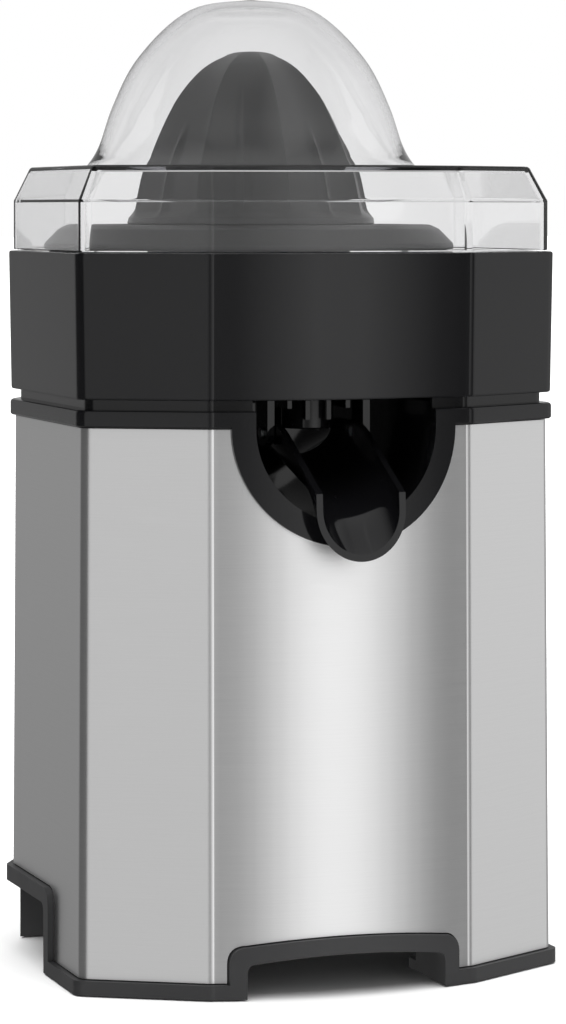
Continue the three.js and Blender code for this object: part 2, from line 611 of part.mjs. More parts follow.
const LOWER_BUSH_RADIUS = 6.4;
const BEARING_RADIUS = 6;
const ROTOR_SHAFT_RADIUS = 2;
const MOTOR_POST_SPOTS = [[-27, -18], [27, -18], [-27, 18], [27, 18]];
const MOTOR_POST_RADIUS = 3.6;
const STACK_TOP = STACK_Z + STACK_HEIGHT;
const MOTOR_SPOTS = MOTOR_POST_SPOTS.map(([x, y]) => [ROTOR_X + x, ROTOR_Y + y]);

function gearboxLower() {
  const shell = cut(boxSolid(BOX_WALL, GEARBOX_Z, GEARBOX_TOP), boxSolid(0, GEARBOX_Z + 3, 200));
  const posts = standing(rod(MOTOR_POST_RADIUS, STACK_TOP + SEAT_GAP, GEARBOX_Z + 1, 12), MOTOR_SPOTS);
  const ears = MOTOR_SPOTS.map(([x, y]) => ear(x, y, MOTOR_POST_RADIUS + 1, GEARBOX_Z, GEARBOX_Z + 3));
  const threads = standing(rod(SCREW_HOLE, 0, GEARBOX_Z - 1, 12), MOTOR_SPOTS);
  const rotorSpot = [ROTOR_X, ROTOR_Y, 0];
  const bearingHouse = rod(BEARING_RADIUS + 2.3, GEARBOX_Z - 5, GEARBOX_Z + 1).translate(rotorSpot);
  const bearingSeat = rod(BEARING_RADIUS + SEAT_GAP, 0, GEARBOX_Z).translate(rotorSpot);
  const shaftHole = rod(ROTOR_SHAFT_RADIUS + 1, 0, 200, 16).translate(rotorSpot);
  const axleHole = rod(IDLER_AXLE_RADIUS + SEAT_GAP, 0, 200, 16).translate([0, IDLER_Y, 0]);
  const bushHole = rod(LOWER_BUSH_RADIUS + SEAT_GAP, 0, 200);
  const whole = join(cut(join(...ears), boxSolid(0, 0, 200)), shell, ...posts, bearingHouse);
  return cut(whole, ...threads, bearingSeat, shaftHole, axleHole, bushHole);
}
place('gearbox_lower', gearboxLower(), 'casing');

function gearboxUpper() {
  const from = GEARBOX_TOP + SEAT_GAP;
  const lid = boxSolid(BOX_WALL, from, GEARBOX_LID_TOP);
  const arms = POST_SPOTS.map(([x, y]) => ear(x, y, POST_RADIUS + 1.5, from, GEARBOX_LID_TOP));
  const tower = rod(TOWER_RADIUS, from, TOWER_TOP);
  const holes = standing(rod(SCREW_HOLE, 0, 200, 12), POST_SPOTS);
  const axleHole = rod(IDLER_AXLE_RADIUS + SEAT_GAP, 0, 200, 16).translate([0, IDLER_Y, 0]);
  const bushSeat = rod(LOWER_BUSH_RADIUS + SEAT_GAP, TOWER_TOP - 14, 200);
  return cut(join(lid, ...arms, tower), ...holes, axleHole, bushSeat, rod(SHAFT_WAY, 0, 200));
}
place('gearbox_upper', gearboxUpper(), 'casing');

const padSolid = ring(POST_RADIUS, SCREW_HOLE, 0, PAD_HEIGHT, 10);
POST_SPOTS.forEach(([x, y], i) => {
  place(`gearbox_pad_${i + 1}`, padSolid, 'rubber', [x, y, GEARBOX_LID_TOP + SEAT_GAP]);
  place(`gearbox_screw_${i + 1}`, screw(14), 'zinc', [x, y, GEARBOX_TOP + SEAT_GAP]);
});

const axleLength = GEARBOX_LID_TOP - GEARBOX_Z;
place('idler_axle', rod(IDLER_AXLE_RADIUS, 0, axleLength, 16), 'zinc', [0, IDLER_Y, GEARBOX_Z]);

// ---- drive shaft, bushes, spring ------------------------------------------------------
const LOWER_BUSH_HEIGHT = 12;
const UPPER_BUSH_HEIGHT = 13.5;
const bush = (height) => ring(LOWER_BUSH_RADIUS, SHAFT_RADIUS + SLIP_GAP, 0, height);
place('lower_bush', bush(LOWER_BUSH_HEIGHT), 'bronze', [0, 0, GEARBOX_Z - 3]);
place('upper_bush', bush(UPPER_BUSH_HEIGHT), 'bronze', [0, 0, TOWER_TOP - UPPER_BUSH_HEIGHT]);

const DRIVE_FLAT = 3.2;            // axis to each flat at the driving end
const FLAT_LENGTH = 24;

function driveShaft() {
  const profile = [
    [0, SHAFT_FOOT_Z], [SHAFT_RADIUS, SHAFT_FOOT_Z], [SHAFT_RADIUS, SHAFT_TOP_Z - 1],
    [SHAFT_RADIUS - 1, SHAFT_TOP_Z], [0, SHAFT_TOP_Z],
  ];
  const flats = [-1, 1].map((way) => {
    const edges = [way * DRIVE_FLAT, way * 10].sort((a, b) => a - b);
    return block(edges[0], edges[1], -10, 10, SHAFT_TOP_Z - FLAT_LENGTH, SHAFT_TOP_Z + 1);
  });
  const shoulder = rod(SHAFT_RADIUS + 0.8, OUTPUT_GEAR_Z + GEAR_FACE + 2.3, OUTPUT_GEAR_Z + 12);
  return cut(join(turned(profile, 16), shoulder), ...flats);
}
place('drive_shaft', driveShaft(), 'zinc');

const CUP_PLATE = 2.5;
const CUP_RADIUS = 10.5;
const CUP_WALL = 1.6;
const CUP_DEPTH = 4.4;
const CUP_PLATE_Z = OUTPUT_GEAR_Z - SEAT_GAP - CUP_PLATE;
const CUP_FOOT_Z = CUP_PLATE_Z - CUP_DEPTH;
const CUP_TOP_Z = CUP_PLATE_Z + CUP_PLATE;
const CUP_BORE = SHAFT_RADIUS + SLIP_GAP;
const cupProfile = [
  [CUP_RADIUS, CUP_FOOT_Z], [CUP_RADIUS, CUP_TOP_Z], [CUP_BORE, CUP_TOP_Z],
  [CUP_BORE, CUP_PLATE_Z], [CUP_RADIUS - CUP_WALL, CUP_PLATE_Z], [CUP_RADIUS - CUP_WALL, CUP_FOOT_Z],
];
place('spring_seat', turned(cupProfile, 16), 'nylon');

const SPRING_WIRE = 0.6;
const SPRING_RADIUS = LOWER_BUSH_RADIUS + SPRING_WIRE + 0.6;
const SPRING_TURNS = 4;
const SPRING_FOOT_Z = GEARBOX_Z + 3 + SEAT_GAP;

class Helix extends THREE.Curve {
  constructor(radius, height, turns) {
    super();
    Object.assign(this, { radius, height, turns });
  }

  getPoint(t, target = new THREE.Vector3()) {
    const angle = 2 * Math.PI * this.turns * t;
    return target.set(this.radius * Math.cos(angle), this.radius * Math.sin(angle), this.height * t);
  }
}

function returnSpring() {
  const section = new THREE.Shape().absarc(0, 0, SPRING_WIRE, 0, 2 * Math.PI, false);
  const height = CUP_PLATE_Z - SEAT_GAP - SPRING_FOOT_Z - 2 * SPRING_WIRE;
  const extrudePath = new Helix(SPRING_RADIUS, height, SPRING_TURNS);
  const options = { steps: 10 * SPRING_TURNS, curveSegments: 3, extrudePath };
  return solidFrom(new THREE.ExtrudeGeometry(section, options));
}
place('return_spring', returnSpring(), 'zinc', [0, 0, SPRING_FOOT_Z + SPRING_WIRE]);

// ---- motor ----------------------------------------------------------------------------
const motor = [ROTOR_X, ROTOR_Y, 0];
const COIL_LEG_X = 26;
const COIL_WALL = 5.5;
const STACK_HALF = [33, 23];
const WINDOW_HALF = 14;

function statorCore() {
  const [halfX, halfY] = STACK_HALF;
  const frame = block(-halfX, halfX, -halfY, halfY, STACK_Z, STACK_TOP);
  const bore = rod(ROTOR_RADIUS + 0.5, 0, 200, 32);
  const windows = [-1, 1].map((way) => {
    const [near, far] = [way * (ROTOR_RADIUS + 4), way * COIL_LEG_X].sort((a, b) => a - b);
    return block(near, far, -WINDOW_HALF, WINDOW_HALF, 0, 200);
  });
  const holes = standing(rod(SCREW_HOLE, 0, 200, 12), MOTOR_POST_SPOTS);
  return cut(frame, bore, ...windows, ...holes);
}
place('stator_core', statorCore(), 'iron', motor);

function statorCoil(way) {
  const legX = (COIL_LEG_X + STACK_HALF[0]) / 2;
  const legHalf = (STACK_HALF[0] - COIL_LEG_X) / 2 + SEAT_GAP;
  const reach = legHalf + COIL_WALL;
  const halfY = WINDOW_HALF - 1;
  const outer = block(-reach, reach, -halfY, halfY, STACK_Z - COIL_WALL, STACK_TOP + COIL_WALL);
  const leg = block(-legHalf, legHalf, -90, 90, STACK_Z - SEAT_GAP, STACK_TOP + SEAT_GAP);
  return cut(outer, leg).translate([way * legX, 0, 0]);
}
place('stator_coil_left', statorCoil(-1), 'copper', motor);
place('stator_coil_right', statorCoil(1), 'copper', motor);

const rotorCore = ring(ROTOR_RADIUS, ROTOR_SHAFT_RADIUS + 0.05, STACK_Z - 1, STACK_TOP + 1, 32);
place('rotor_core', rotorCore, 'iron', motor);

function rotorShaft() {
  const pinionTurn = ROTOR_HEADING + 180 + 180 / ROTOR_TEETH;
  const pinionTop = IDLER_WHEEL_Z + IDLER_WHEEL_FACE + 1;
  const pinion = slab(gearShape(ROTOR_TEETH, MOTOR_MODULE), IDLER_WHEEL_Z - 1, pinionTop);
  const shaft = rod(ROTOR_SHAFT_RADIUS, STACK_Z - 14, pinionTop + 1, 16);
  return join(shaft, pinion.rotate([0, 0, pinionTurn]));
}
place('rotor_shaft', rotorShaft(), 'zinc', motor);

const bearing = ring(BEARING_RADIUS, ROTOR_SHAFT_RADIUS + SLIP_GAP, 0, 4.5);
place('rotor_bearing_upper', bearing, 'bronze', [ROTOR_X, ROTOR_Y, GEARBOX_Z - 5]);
place('rotor_bearing_lower', bearing, 'bronze', [ROTOR_X, ROTOR_Y, STACK_Z - 12]);

// A cross-piece under the stack that holds the lower bearing and takes the long screws.
function motorBracket() {
  const [halfX, halfY] = STACK_HALF;
  const top = STACK_Z - SEAT_GAP;
  const pillars = standing(rod(MOTOR_POST_RADIUS, top - 12, top, 12), MOTOR_POST_SPOTS);
  const plate = block(-halfX + 2, halfX - 2, -halfY + 1, halfY - 1, top - 14, top - 11.5);
  const house = rod(BEARING_RADIUS + 2.3, top - 14, top - 7);
  const holes = standing(rod(SCREW_HOLE, 0, 200, 12), MOTOR_POST_SPOTS);
  const seat = rod(BEARING_RADIUS + SEAT_GAP, top - 12, 200);
  return cut(join(plate, house, ...pillars), seat, rod(ROTOR_SHAFT_RADIUS + 1, 0, 200, 16), ...holes);
}
place('motor_bracket', motorBracket(), 'zinc', motor);
MOTOR_SPOTS.forEach(([x, y], i) => {
  place(`motor_screw_${i + 1}`, screw(44), 'zinc', [x, y, STACK_Z - SEAT_GAP - 14]);
});

// ---- switch ---------------------------------------------------------------------------
const SWITCH_X = 20;
const SWITCH_FOOT_Z = GEARBOX_Z + 3 + SEAT_GAP;
const SWITCH_TOP_Z = 102;
const LEVER_TOP_Z = CUP_FOOT_Z - SEAT_GAP;
const LEVER_WALL = 1.2;
const LEVER_TIP_X = 9;
const LEVER_PIVOT_X = 27;
const LEVER_PIN_RADIUS = 0.8;
const LEVER_PIVOT_Z = LEVER_TOP_Z - LEVER_WALL / 2;
const SWITCH_Y = -4;
const SWITCH_HALF = 4;
const BUTTON_RADIUS = 1.2;
const BUTTON_GAP = 0.34;           // under the lever, which tips as it comes down
const BUTTON_TOP_Z = LEVER_TOP_Z - LEVER_WALL - BUTTON_GAP;
const BUTTON_FOOT_Z = 100;
const BUTTON_TRAVEL = 0.4 * PRESS_TRAVEL;

function switchBody() {
  const [front, back] = [SWITCH_Y - SWITCH_HALF, SWITCH_Y + SWITCH_HALF];
  const body = block(SWITCH_X - 5, LEVER_PIVOT_X + 2, front, back, SWITCH_FOOT_Z, SWITCH_TOP_Z);
  const cheekTop = LEVER_PIVOT_Z + 1.8;
  const cheeks = [front, back - 1.4].map((y) =>
    block(LEVER_PIVOT_X - 2, LEVER_PIVOT_X + 2, y, y + 1.4, SWITCH_TOP_Z - 1, cheekTop));
  const pinHole = rodAlongY(LEVER_PIN_RADIUS + SLIP_GAP, front - 1, back + 1, 12);
  const well = rod(BUTTON_RADIUS + SLIP_GAP, BUTTON_FOOT_Z - BUTTON_TRAVEL - SEAT_GAP, SWITCH_TOP_Z + 1, 16);
  return cut(join(body, ...cheeks), pinHole.translate([LEVER_PIVOT_X, 0, LEVER_PIVOT_Z]),
    well.translate([SWITCH_X, SWITCH_Y, 0]));
}
place('switch_body', switchBody(), 'plastic');
place('switch_button', rod(BUTTON_RADIUS, BUTTON_FOOT_Z, BUTTON_TOP_Z, 16), 'nylon', [SWITCH_X, SWITCH_Y, 0]);

function switchLever() {
  const halfPin = SWITCH_HALF - 0.1;
  const pin = rodAlongY(LEVER_PIN_RADIUS, -halfPin, halfPin, 12);
  const reach = LEVER_PIVOT_X - LEVER_TIP_X;
  const halfWidth = SWITCH_HALF - 1.8;
  return join(pin, block(-reach, 1.4, -halfWidth, halfWidth, -LEVER_WALL / 2, LEVER_WALL / 2));
}
place('switch_lever', switchLever(), 'bronze', [LEVER_PIVOT_X, SWITCH_Y, LEVER_PIVOT_Z]);

// ---- juice collector ------------------------------------------------------------------
const COLLECTOR_EARS = SPOUT_WIDTH / 2 + SEAT_GAP;

function collectorNozzle() {
  const drop = BOWL_FLOOR_Z - NOZZLE_DROP;
  return rod(NOZZLE_RADIUS, drop, BOWL_FLOOR_Z + 1).translate([0, NOZZLE_Y, 0]);
}

function juiceCollector() {
  const shelfZ = BAND_TOP - PLASTIC_WALL;
  const skirtOut = loft([BAND_Z, BAND_PROUD_FOOT], [BAND_TOP, BAND_PROUD_TOP]);
  const skirtIn = loft([BAND_Z - 1, BAND_PROUD_FOOT - PLASTIC_WALL], [shelfZ, BAND_PROUD_TOP - PLASTIC_WALL]);
  const bowl = rod(BOWL_RADIUS + PLASTIC_WALL, BOWL_FLOOR_Z, BAND_TOP, 36);
  const hollow = rod(BOWL_RADIUS, BOWL_FLOOR_Z + PLASTIC_WALL, BAND_TOP + 1, 36);
  const chimney = rod(CHIMNEY_BORE + PLASTIC_WALL, BOWL_FLOOR_Z, CHIMNEY_TOP);
  const ears = [-1, 1].map((way) => {
    const [near, far] = [way * COLLECTOR_EARS, way * (COLLECTOR_EARS + EAR_WALL)].sort((a, b) => a - b);
    const plate = block(near, far, SPOUT_HINGE_Y - 5, SPOUT_HINGE_Y + 5, SPOUT_HINGE_Z - 4, BOWL_FLOOR_Z + 1);
    const hole = rodAlongX(SPOUT_PIN_RADIUS + SEAT_GAP, -40, 40);
    return cut(plate, hole.translate([0, SPOUT_HINGE_Y, SPOUT_HINGE_Z]));
  });
  const shell = cut(join(cut(skirtOut, skirtIn), bowl), hollow);
  const whole = join(shell, chimney, collectorNozzle(), ...ears);
  const bore = rod(CHIMNEY_BORE, 0, 300);
  const outlet = rod(NOZZLE_RADIUS - 2, 0, 200).translate([0, NOZZLE_Y, 0]);
  return cut(whole, bore, outlet);
}
place('juice_collector', juiceCollector(), 'glossy');

// ---- spout ----------------------------------------------------------------------------
const PIN_LENGTH = SPOUT_WALL + SEAT_GAP + EAR_WALL + 0.8;
[['left', -1], ['right', 1]].forEach(([side, way]) => {
  const edges = [way * (SPOUT_WIDTH / 2 - SPOUT_WALL), way * (SPOUT_WIDTH / 2 - SPOUT_WALL + PIN_LENGTH)];
  const pin = rodAlongX(SPOUT_PIN_RADIUS, Math.min(...edges), Math.max(...edges));
  place(`spout_pin_${side}`, pin, 'zinc', [0, SPOUT_HINGE_Y, SPOUT_HINGE_Z]);
});

// Upright U-shaped section of the trough, with its underside at height 0.
function troughShape(wall) {
  const half = SPOUT_WIDTH / 2;
  const shape = new THREE.Shape();
  shape.moveTo(-half, SPOUT_DEPTH);
  shape.lineTo(-half, half);
  shape.absarc(0, half, half, Math.PI, 2 * Math.PI, false);
  shape.lineTo(half, SPOUT_DEPTH);
  if (wall > 0) {
    shape.lineTo(half - wall, SPOUT_DEPTH);
    shape.absarc(0, half, half - wall, 2 * Math.PI, Math.PI, true);
    shape.lineTo(-half + wall, SPOUT_DEPTH);
  }
  return shape;
}

// The underside of the trough: nearly level inside the recess, then bent down to the lip.
function spoutCourse() {
  const sill = RECESS_Z - RECESS_RADIUS + SPOUT_SILL_GAP;
  const front = FRONT_REACH + FRONT_BULGE;
  const stops = [
    [-SPOUT_BACK_Y, SPOUT_BACK_Z], [front - 20, sill + 7], [front, sill], [SPOUT_REACH, SPOUT_LIP_Z],
  ];
  return new THREE.CatmullRomCurve3(stops.map(([reach, height]) => new THREE.Vector3(0, -reach, height)));
}

// The trough, or its whole solid when the wall is 0: upright sections set along the course.
function trough(wall) {
  const stops = spoutCourse().getPoints(SPOUT_STEPS);
  const options = { depth: SPOUT_STEPS, steps: SPOUT_STEPS, bevelEnabled: false, curveSegments: 8 };
  const geometry = new THREE.ExtrudeGeometry(troughShape(wall), options);
  const position = geometry.attributes.position;
  for (let v = 0; v < position.count; v += 1) {
    const stop = stops[Math.round(position.getZ(v))];
    position.setXYZ(v, position.getX(v), stop.y, stop.z + position.getY(v));
  }
  return solidFrom(geometry);
}

// Everything above the rim, which is level over the hinge and then falls to the lip.
function aboveRim() {
  const fall = (SPOUT_RIM_Z - SPOUT_LIP_RIM_Z) / (SPOUT_REACH - SPOUT_RIM_BEND);
  const far = SPOUT_REACH + 20;
  const shape = new THREE.Shape();
  shape.moveTo(10, SPOUT_RIM_Z);
  shape.lineTo(10, BAND_TOP);
  shape.lineTo(-far, BAND_TOP);
  shape.lineTo(-far, SPOUT_RIM_Z - fall * (far - SPOUT_RIM_BEND));
  shape.lineTo(-SPOUT_RIM_BEND, SPOUT_RIM_Z);
  return slabAlongX(shape, -40, 40);
}

function spout() {
  const backWall = trough(0).intersect(block(-40, 40, SPOUT_BACK_Y - SPOUT_WALL, 0, 100, 220));
  const behind = block(-40, 40, SPOUT_BACK_Y, 10, 100, 220);
  const front = block(-40, 40, -60, 0, -40, 80).rotate([-SPOUT_LIP_LEAN, 0, 0]);
  const lip = front.translate([0, -SPOUT_REACH, SPOUT_LIP_Z]);
  const holes = rodAlongX(SPOUT_PIN_RADIUS + SLIP_GAP, -40, 40).translate([0, SPOUT_HINGE_Y, SPOUT_HINGE_Z]);
  const solid = cut(join(trough(SPOUT_WALL), backWall), aboveRim(), behind, lip, holes);
  return solid.translate([0, -SPOUT_HINGE_Y, -SPOUT_HINGE_Z]);
}
place('spout', spout(), 'glossy', [0, SPOUT_HINGE_Y, SPOUT_HINGE_Z]);

// ---- strainer basket and pulp selector ------------------------------------------------
const TAB_TURN = 4;                // half of the pulp tab's own width, in degrees
const TAB_HEADING = 90;
const TAB_INNER = 46;
const TAB_OUTER = 48.6;
const SELECTOR_Z = BASKET_FLOOR_Z - SEAT_GAP - 1.7;

// Part of a flat ring, centred on a heading in degrees.
function sector(inner, outer, half, heading, from, to) {
  const [start, end] = [heading - half, heading + half].map(THREE.MathUtils.degToRad);
  const shape = new THREE.Shape();
  shape.absarc(0, 0, outer, start, end, false);
  shape.absarc(0, 0, inner, end, start, true);
  return slab(shape, from, to, 6);
}

// Radial slots all round, but for the stretch that the pulp tab sweeps.
function juiceSlots(from, to) {
  const headings = Array.from({ length: SLOT_COUNT }, (unused, i) => (360 * i) / SLOT_COUNT);
  const swept = SELECTOR_TAB_TURN + TAB_TURN + 6;
  return headings.filter((heading) => Math.abs(heading - TAB_HEADING) > swept).map((heading) =>
    block(SLOT_INNER, SLOT_OUTER, -SLOT_WIDTH / 2, SLOT_WIDTH / 2, from, to).rotate([0, 0, heading]));
}

function strainerBasket() {
  const seat = BAND_TOP + SEAT_GAP;
  const wall = BASKET_WALL;
  const floor = BASKET_FLOOR_Z;
  const hole = CHIMNEY_BORE + PLASTIC_WALL + CONE_WALL + 2 * LIFT_GAP;
  const outside = [
    [BASKET_RADIUS, seat], [BASKET_RADIUS, seat + wall], [60, BASKET_RIM_TOP - 1.3], [57, BASKET_RIM_TOP],
    [53, BASKET_RIM_TOP], [50.8, BASKET_RIM_TOP - 1.5], [50, floor + wall], [hole + wall, floor + wall],
    [hole + wall, floor + 4.2], [hole, floor + 4.2],
  ];
  const underside = [
    [hole, floor], [50 + wall, floor], [50.8 + wall, BASKET_RIM_TOP - 2.4], [53.6, BASKET_RIM_TOP - wall],
    [56.6, BASKET_RIM_TOP - wall], [59, BASKET_RIM_TOP - 2.8], [BASKET_RADIUS - wall, seat + 1.4],
    [BASKET_RADIUS - wall, seat],
  ];
  const tabSlot = sector(TAB_INNER - 0.6, TAB_OUTER + 0.6, SELECTOR_TAB_TURN + TAB_TURN + 1, TAB_HEADING,
    floor - 1, floor + wall + 1);
  return cut(turned([...outside, ...underside], 32), ...juiceSlots(floor - 1, floor + wall + 1), tabSlot);
}
place('strainer_basket', strainerBasket(), 'plastic');

function pulpSelector() {
  const plate = ring(SLOT_OUTER + 1, SLOT_INNER - 1.5, SELECTOR_Z, SELECTOR_Z + 1.7, 32);
  const tab = sector(TAB_INNER, TAB_OUTER, TAB_TURN, TAB_HEADING, SELECTOR_Z, BASKET_RIM_TOP - 1);
  return cut(join(plate, tab), ...juiceSlots(0, BASKET_FLOOR_Z));
}
place('pulp_selector', pulpSelector(), 'plastic');

// ---- reamer ---------------------------------------------------------------------------
const RIM_HEIGHT = 2;

function reamerCone() {
  const crown = [
    [0, CONE_TIP_Z], [6, CONE_TIP_Z - 0.5], [15.2, CONE_TIP_Z - 4.8], [24.6, 270], [31.8, 255.7], [35.8, 246],
    [38.6, 234], [CONE_RADIUS, CONE_BASE_Z + RIM_HEIGHT], [CONE_RADIUS, CONE_BASE_Z], [0, CONE_BASE_Z],
  ];
  const points = crown.map(([radius, height]) => new THREE.Vector2(radius, height));
  const geometry = new THREE.LatheGeometry(points, 5 * CONE_RIBS);
  geometry.rotateX(Math.PI / 2);
  const position = geometry.attributes.position;
  for (let v = 0; v < position.count; v += 1) {
    const [x, y, z] = [position.getX(v), position.getY(v), position.getZ(v)];
    const radius = Math.hypot(x, y);
    const ribbed = radius > 7 && z > CONE_BASE_Z + RIM_HEIGHT + 1;
    const fade = Math.min(1, radius / CONE_RADIUS + 0.2);
    const sink = ribbed ? (RIB_DEPTH * fade * (1 - Math.cos(CONE_RIBS * Math.atan2(y, x)))) / 2 : 0;
    const share = ribbed ? (radius - sink) / radius : 1;
    position.setXY(v, x * share, y * share);
  }
  return solidFrom(geometry);
}

function reamer() {
  const hollow = turned([[0, 228], [34, 228], [34, 232], [31, 240], [24, 252], [12, 268], [0, 275]], 20);
  const skirtIn = CHIMNEY_BORE + PLASTIC_WALL + LIFT_GAP;
  const skirtFoot = CHIMNEY_TOP + 1;
  const skirt = ring(skirtIn + CONE_WALL - 0.6, skirtIn, skirtFoot, 266, 24);
  const hub = rod(HUB_RADIUS, skirtFoot, 277, 20);
  const socket = rod(SHAFT_RADIUS + SLIP_GAP, 100, SHAFT_TOP_Z + 1, 20);
  const flats = block(-DRIVE_FLAT - SLIP_GAP, DRIVE_FLAT + SLIP_GAP, -20, 20, 100, 300);
  return cut(join(cut(reamerCone(), hollow), skirt, hub), socket.intersect(flats));
}
place('reamer', reamer(), 'plastic');

// ---- clear cover ----------------------------------------------------------------------
const DOME_FOOT_RADIUS = 52.9;
const DOME_OUTLINE = [
  [DOME_FOOT_RADIUS, COVER_PLATE_TOP], [50.4, 251.6], [48.4, 255.5], [44.3, 267.5], [36.3, 282.9],
  [19.5, 298.4], [0, DOME_TOP],
];

// The dome's outline, or its inner face when a wall is given.
function domeSolid(wall) {
  const stops = DOME_OUTLINE.map(([radius, height]) => new THREE.Vector2(radius, height));
  const curve = new THREE.SplineCurve(stops);
  const rise = DOME_TOP - COVER_PLATE_TOP;
  const profile = curve.getPoints(9).map((point) => {
    const lowered = (wall * (point.y - COVER_PLATE_TOP)) / rise;
    return [Math.max(0, point.x - (point.x > 1 ? wall : 0)), point.y - lowered];
  });
  profile[profile.length - 1][0] = 0;
  return turned([[0, SHOULDER_TOP], [DOME_FOOT_RADIUS - wall, SHOULDER_TOP], ...profile], 32);
}

function dustCover() {
  const foot = BAND_TOP + SEAT_GAP;
  const sides = [[foot, SHOULDER_PROUD], [SHOULDER_TOP, SHOULDER_PROUD]];
  const shell = loft(...sides, [COVER_PLATE_TOP, -COVER_PLATE_INSET]);
  const inGrow = SHOULDER_PROUD - COVER_WALL;
  const inside = loft([foot - 1, inGrow], [SHOULDER_TOP - 0.6, inGrow],
    [COVER_PLATE_TOP - COVER_WALL, -COVER_PLATE_INSET - 1.2]);
  return cut(join(shell, domeSolid(0)), inside, domeSolid(COVER_WALL));
}
place('dust_cover', dustCover(), 'clear');

export default group;
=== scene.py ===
# %% [markdown]
# A citrus press juicer: an eight-sided brushed steel body, a gloss black collector with a
# flip-up spout, a strainer basket, a ribbed reamer and a clear cover. The CAD model gives
# every place and size, so the first step loads it, with a helper that reads a part's box.

# %% Load the frame
import math

import bmesh
import bpy
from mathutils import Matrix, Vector


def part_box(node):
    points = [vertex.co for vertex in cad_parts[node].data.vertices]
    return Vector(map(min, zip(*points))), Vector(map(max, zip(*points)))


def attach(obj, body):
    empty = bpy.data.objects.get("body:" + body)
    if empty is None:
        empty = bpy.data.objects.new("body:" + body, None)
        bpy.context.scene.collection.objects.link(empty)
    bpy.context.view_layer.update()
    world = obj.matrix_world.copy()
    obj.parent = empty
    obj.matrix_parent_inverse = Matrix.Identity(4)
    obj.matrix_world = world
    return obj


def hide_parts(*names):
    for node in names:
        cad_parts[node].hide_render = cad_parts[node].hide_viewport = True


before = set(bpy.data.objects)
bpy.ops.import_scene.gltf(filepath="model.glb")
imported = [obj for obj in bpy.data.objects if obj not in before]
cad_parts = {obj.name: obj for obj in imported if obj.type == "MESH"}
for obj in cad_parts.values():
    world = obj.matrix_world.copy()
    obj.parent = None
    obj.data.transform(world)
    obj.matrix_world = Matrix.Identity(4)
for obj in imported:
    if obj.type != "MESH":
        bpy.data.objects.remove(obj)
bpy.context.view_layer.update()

# %% [markdown]
# The machine is round its drive axis, so it is easiest to think in millimetres from that
# axis. The reamer is centred on it, which makes the reamer's CAD box a reliable place to
# read it from. Meshes are built in millimetres and brought to the frame's metres at the end.

# %% Find the drive axis
MM = 0.001
reamer_low, reamer_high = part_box("reamer")
AXIS_X = (reamer_low.x + reamer_high.x) / 2
AXIS_Y = (reamer_low.y + reamer_high.y) / 2
print("drive axis at", round(AXIS_X, 5), round(AXIS_Y, 5))


def at(x, y, z):
    """A point given in millimetres from the drive axis, in the frame's metres."""
    return Vector((AXIS_X + x * MM, AXIS_Y + y * MM, z * MM))


# %% [markdown]
# The camera stands a little to the left of the front, at the height of the strainer, and
# looks down by two degrees. A long lens keeps the upright edges almost parallel, and a
# small shift brings the foot of the machine into the picture without tilting it more.

# %% Camera
CAMERA_AZIMUTH = math.radians(19)
CAMERA_PITCH = math.radians(2)
CAMERA_DISTANCE = 1214.4
CAMERA_ASIDE = 10.24
CAMERA_HEIGHT = 234.9
LENS = 133.4
SHIFT_DOWN = -0.166

ahead = Vector((math.sin(CAMERA_AZIMUTH), math.cos(CAMERA_AZIMUTH), 0))
aside = Vector((ahead.y, -ahead.x, 0))
spot = CAMERA_ASIDE * aside - CAMERA_DISTANCE * ahead
camera = bpy.data.objects.new("camera", bpy.data.cameras.new("camera"))
bpy.context.scene.collection.objects.link(camera)
camera.location = at(spot.x, spot.y, CAMERA_HEIGHT)
camera.rotation_euler = (math.pi / 2 - CAMERA_PITCH, 0, -CAMERA_AZIMUTH)
camera.data.lens = LENS
camera.data.sensor_width = 36
camera.data.shift_y = SHIFT_DOWN
camera.data.dof.use_dof = False
bpy.context.scene.camera = camera
print("camera at", tuple(round(c, 4) for c in camera.location))

# %% [markdown]
# Polished and brushed metal only looks like metal when it has something to reflect. The
# studio here is painted on the world: tall pale panels with dark gaps between them, as
# they are set up round a machine to show its edges. The radiance depends on the compass
# heading of a ray, which a colour ramp holds as a row of stops.

# %% Studio panels on the world
# heading in degrees from the front, positive to the machine's right, and brightness
PANELS = [
    (-180, 0.30), (-150, 0.30), (-138, 0.05), (-62, 0.05), (-52, 0.74), (-34, 0.74),
    (-30, 0.30), (-27, 0.85), (-24, 0.35), (-12, 0.36), (0, 0.85), (10, 1.25), (24, 1.20),
    (36, 0.75), (48, 0.30), (58, 0.14), (67, 0.72), (96, 0.78), (106, 0.30), (150, 0.55),
    (180, 0.30),
]

PANEL_PEAK = max(level for _, level in PANELS)
print("studio has", len(PANELS), "stops, the brightest", PANEL_PEAK)

# %% [markdown]
# The world and every finish are node trees, so three short helpers are shared by them all:
# one adds any node with its settings, one does arithmetic, and one makes a colour ramp.

# %% Node helpers
def add_node(tree, kind, **settings):
    """A node of that kind, with its settings and its unlinked inputs filled in."""
    node = tree.nodes.new(kind)
    inputs = settings.pop("inputs", {})
    for name, value in settings.items():
        setattr(node, name, value)
    for name, value in inputs.items():
        if isinstance(value, bpy.types.NodeSocket):
            tree.links.new(value, node.inputs[name])
        else:
            node.inputs[name].default_value = value
    return node


def sums(tree, operation, first, second=0.5, third=0.5):
    """The output of a Math node."""
    node = add_node(tree, "ShaderNodeMath", operation=operation,
                    inputs={0: first, 1: second, 2: third})
    return node.outputs[0]


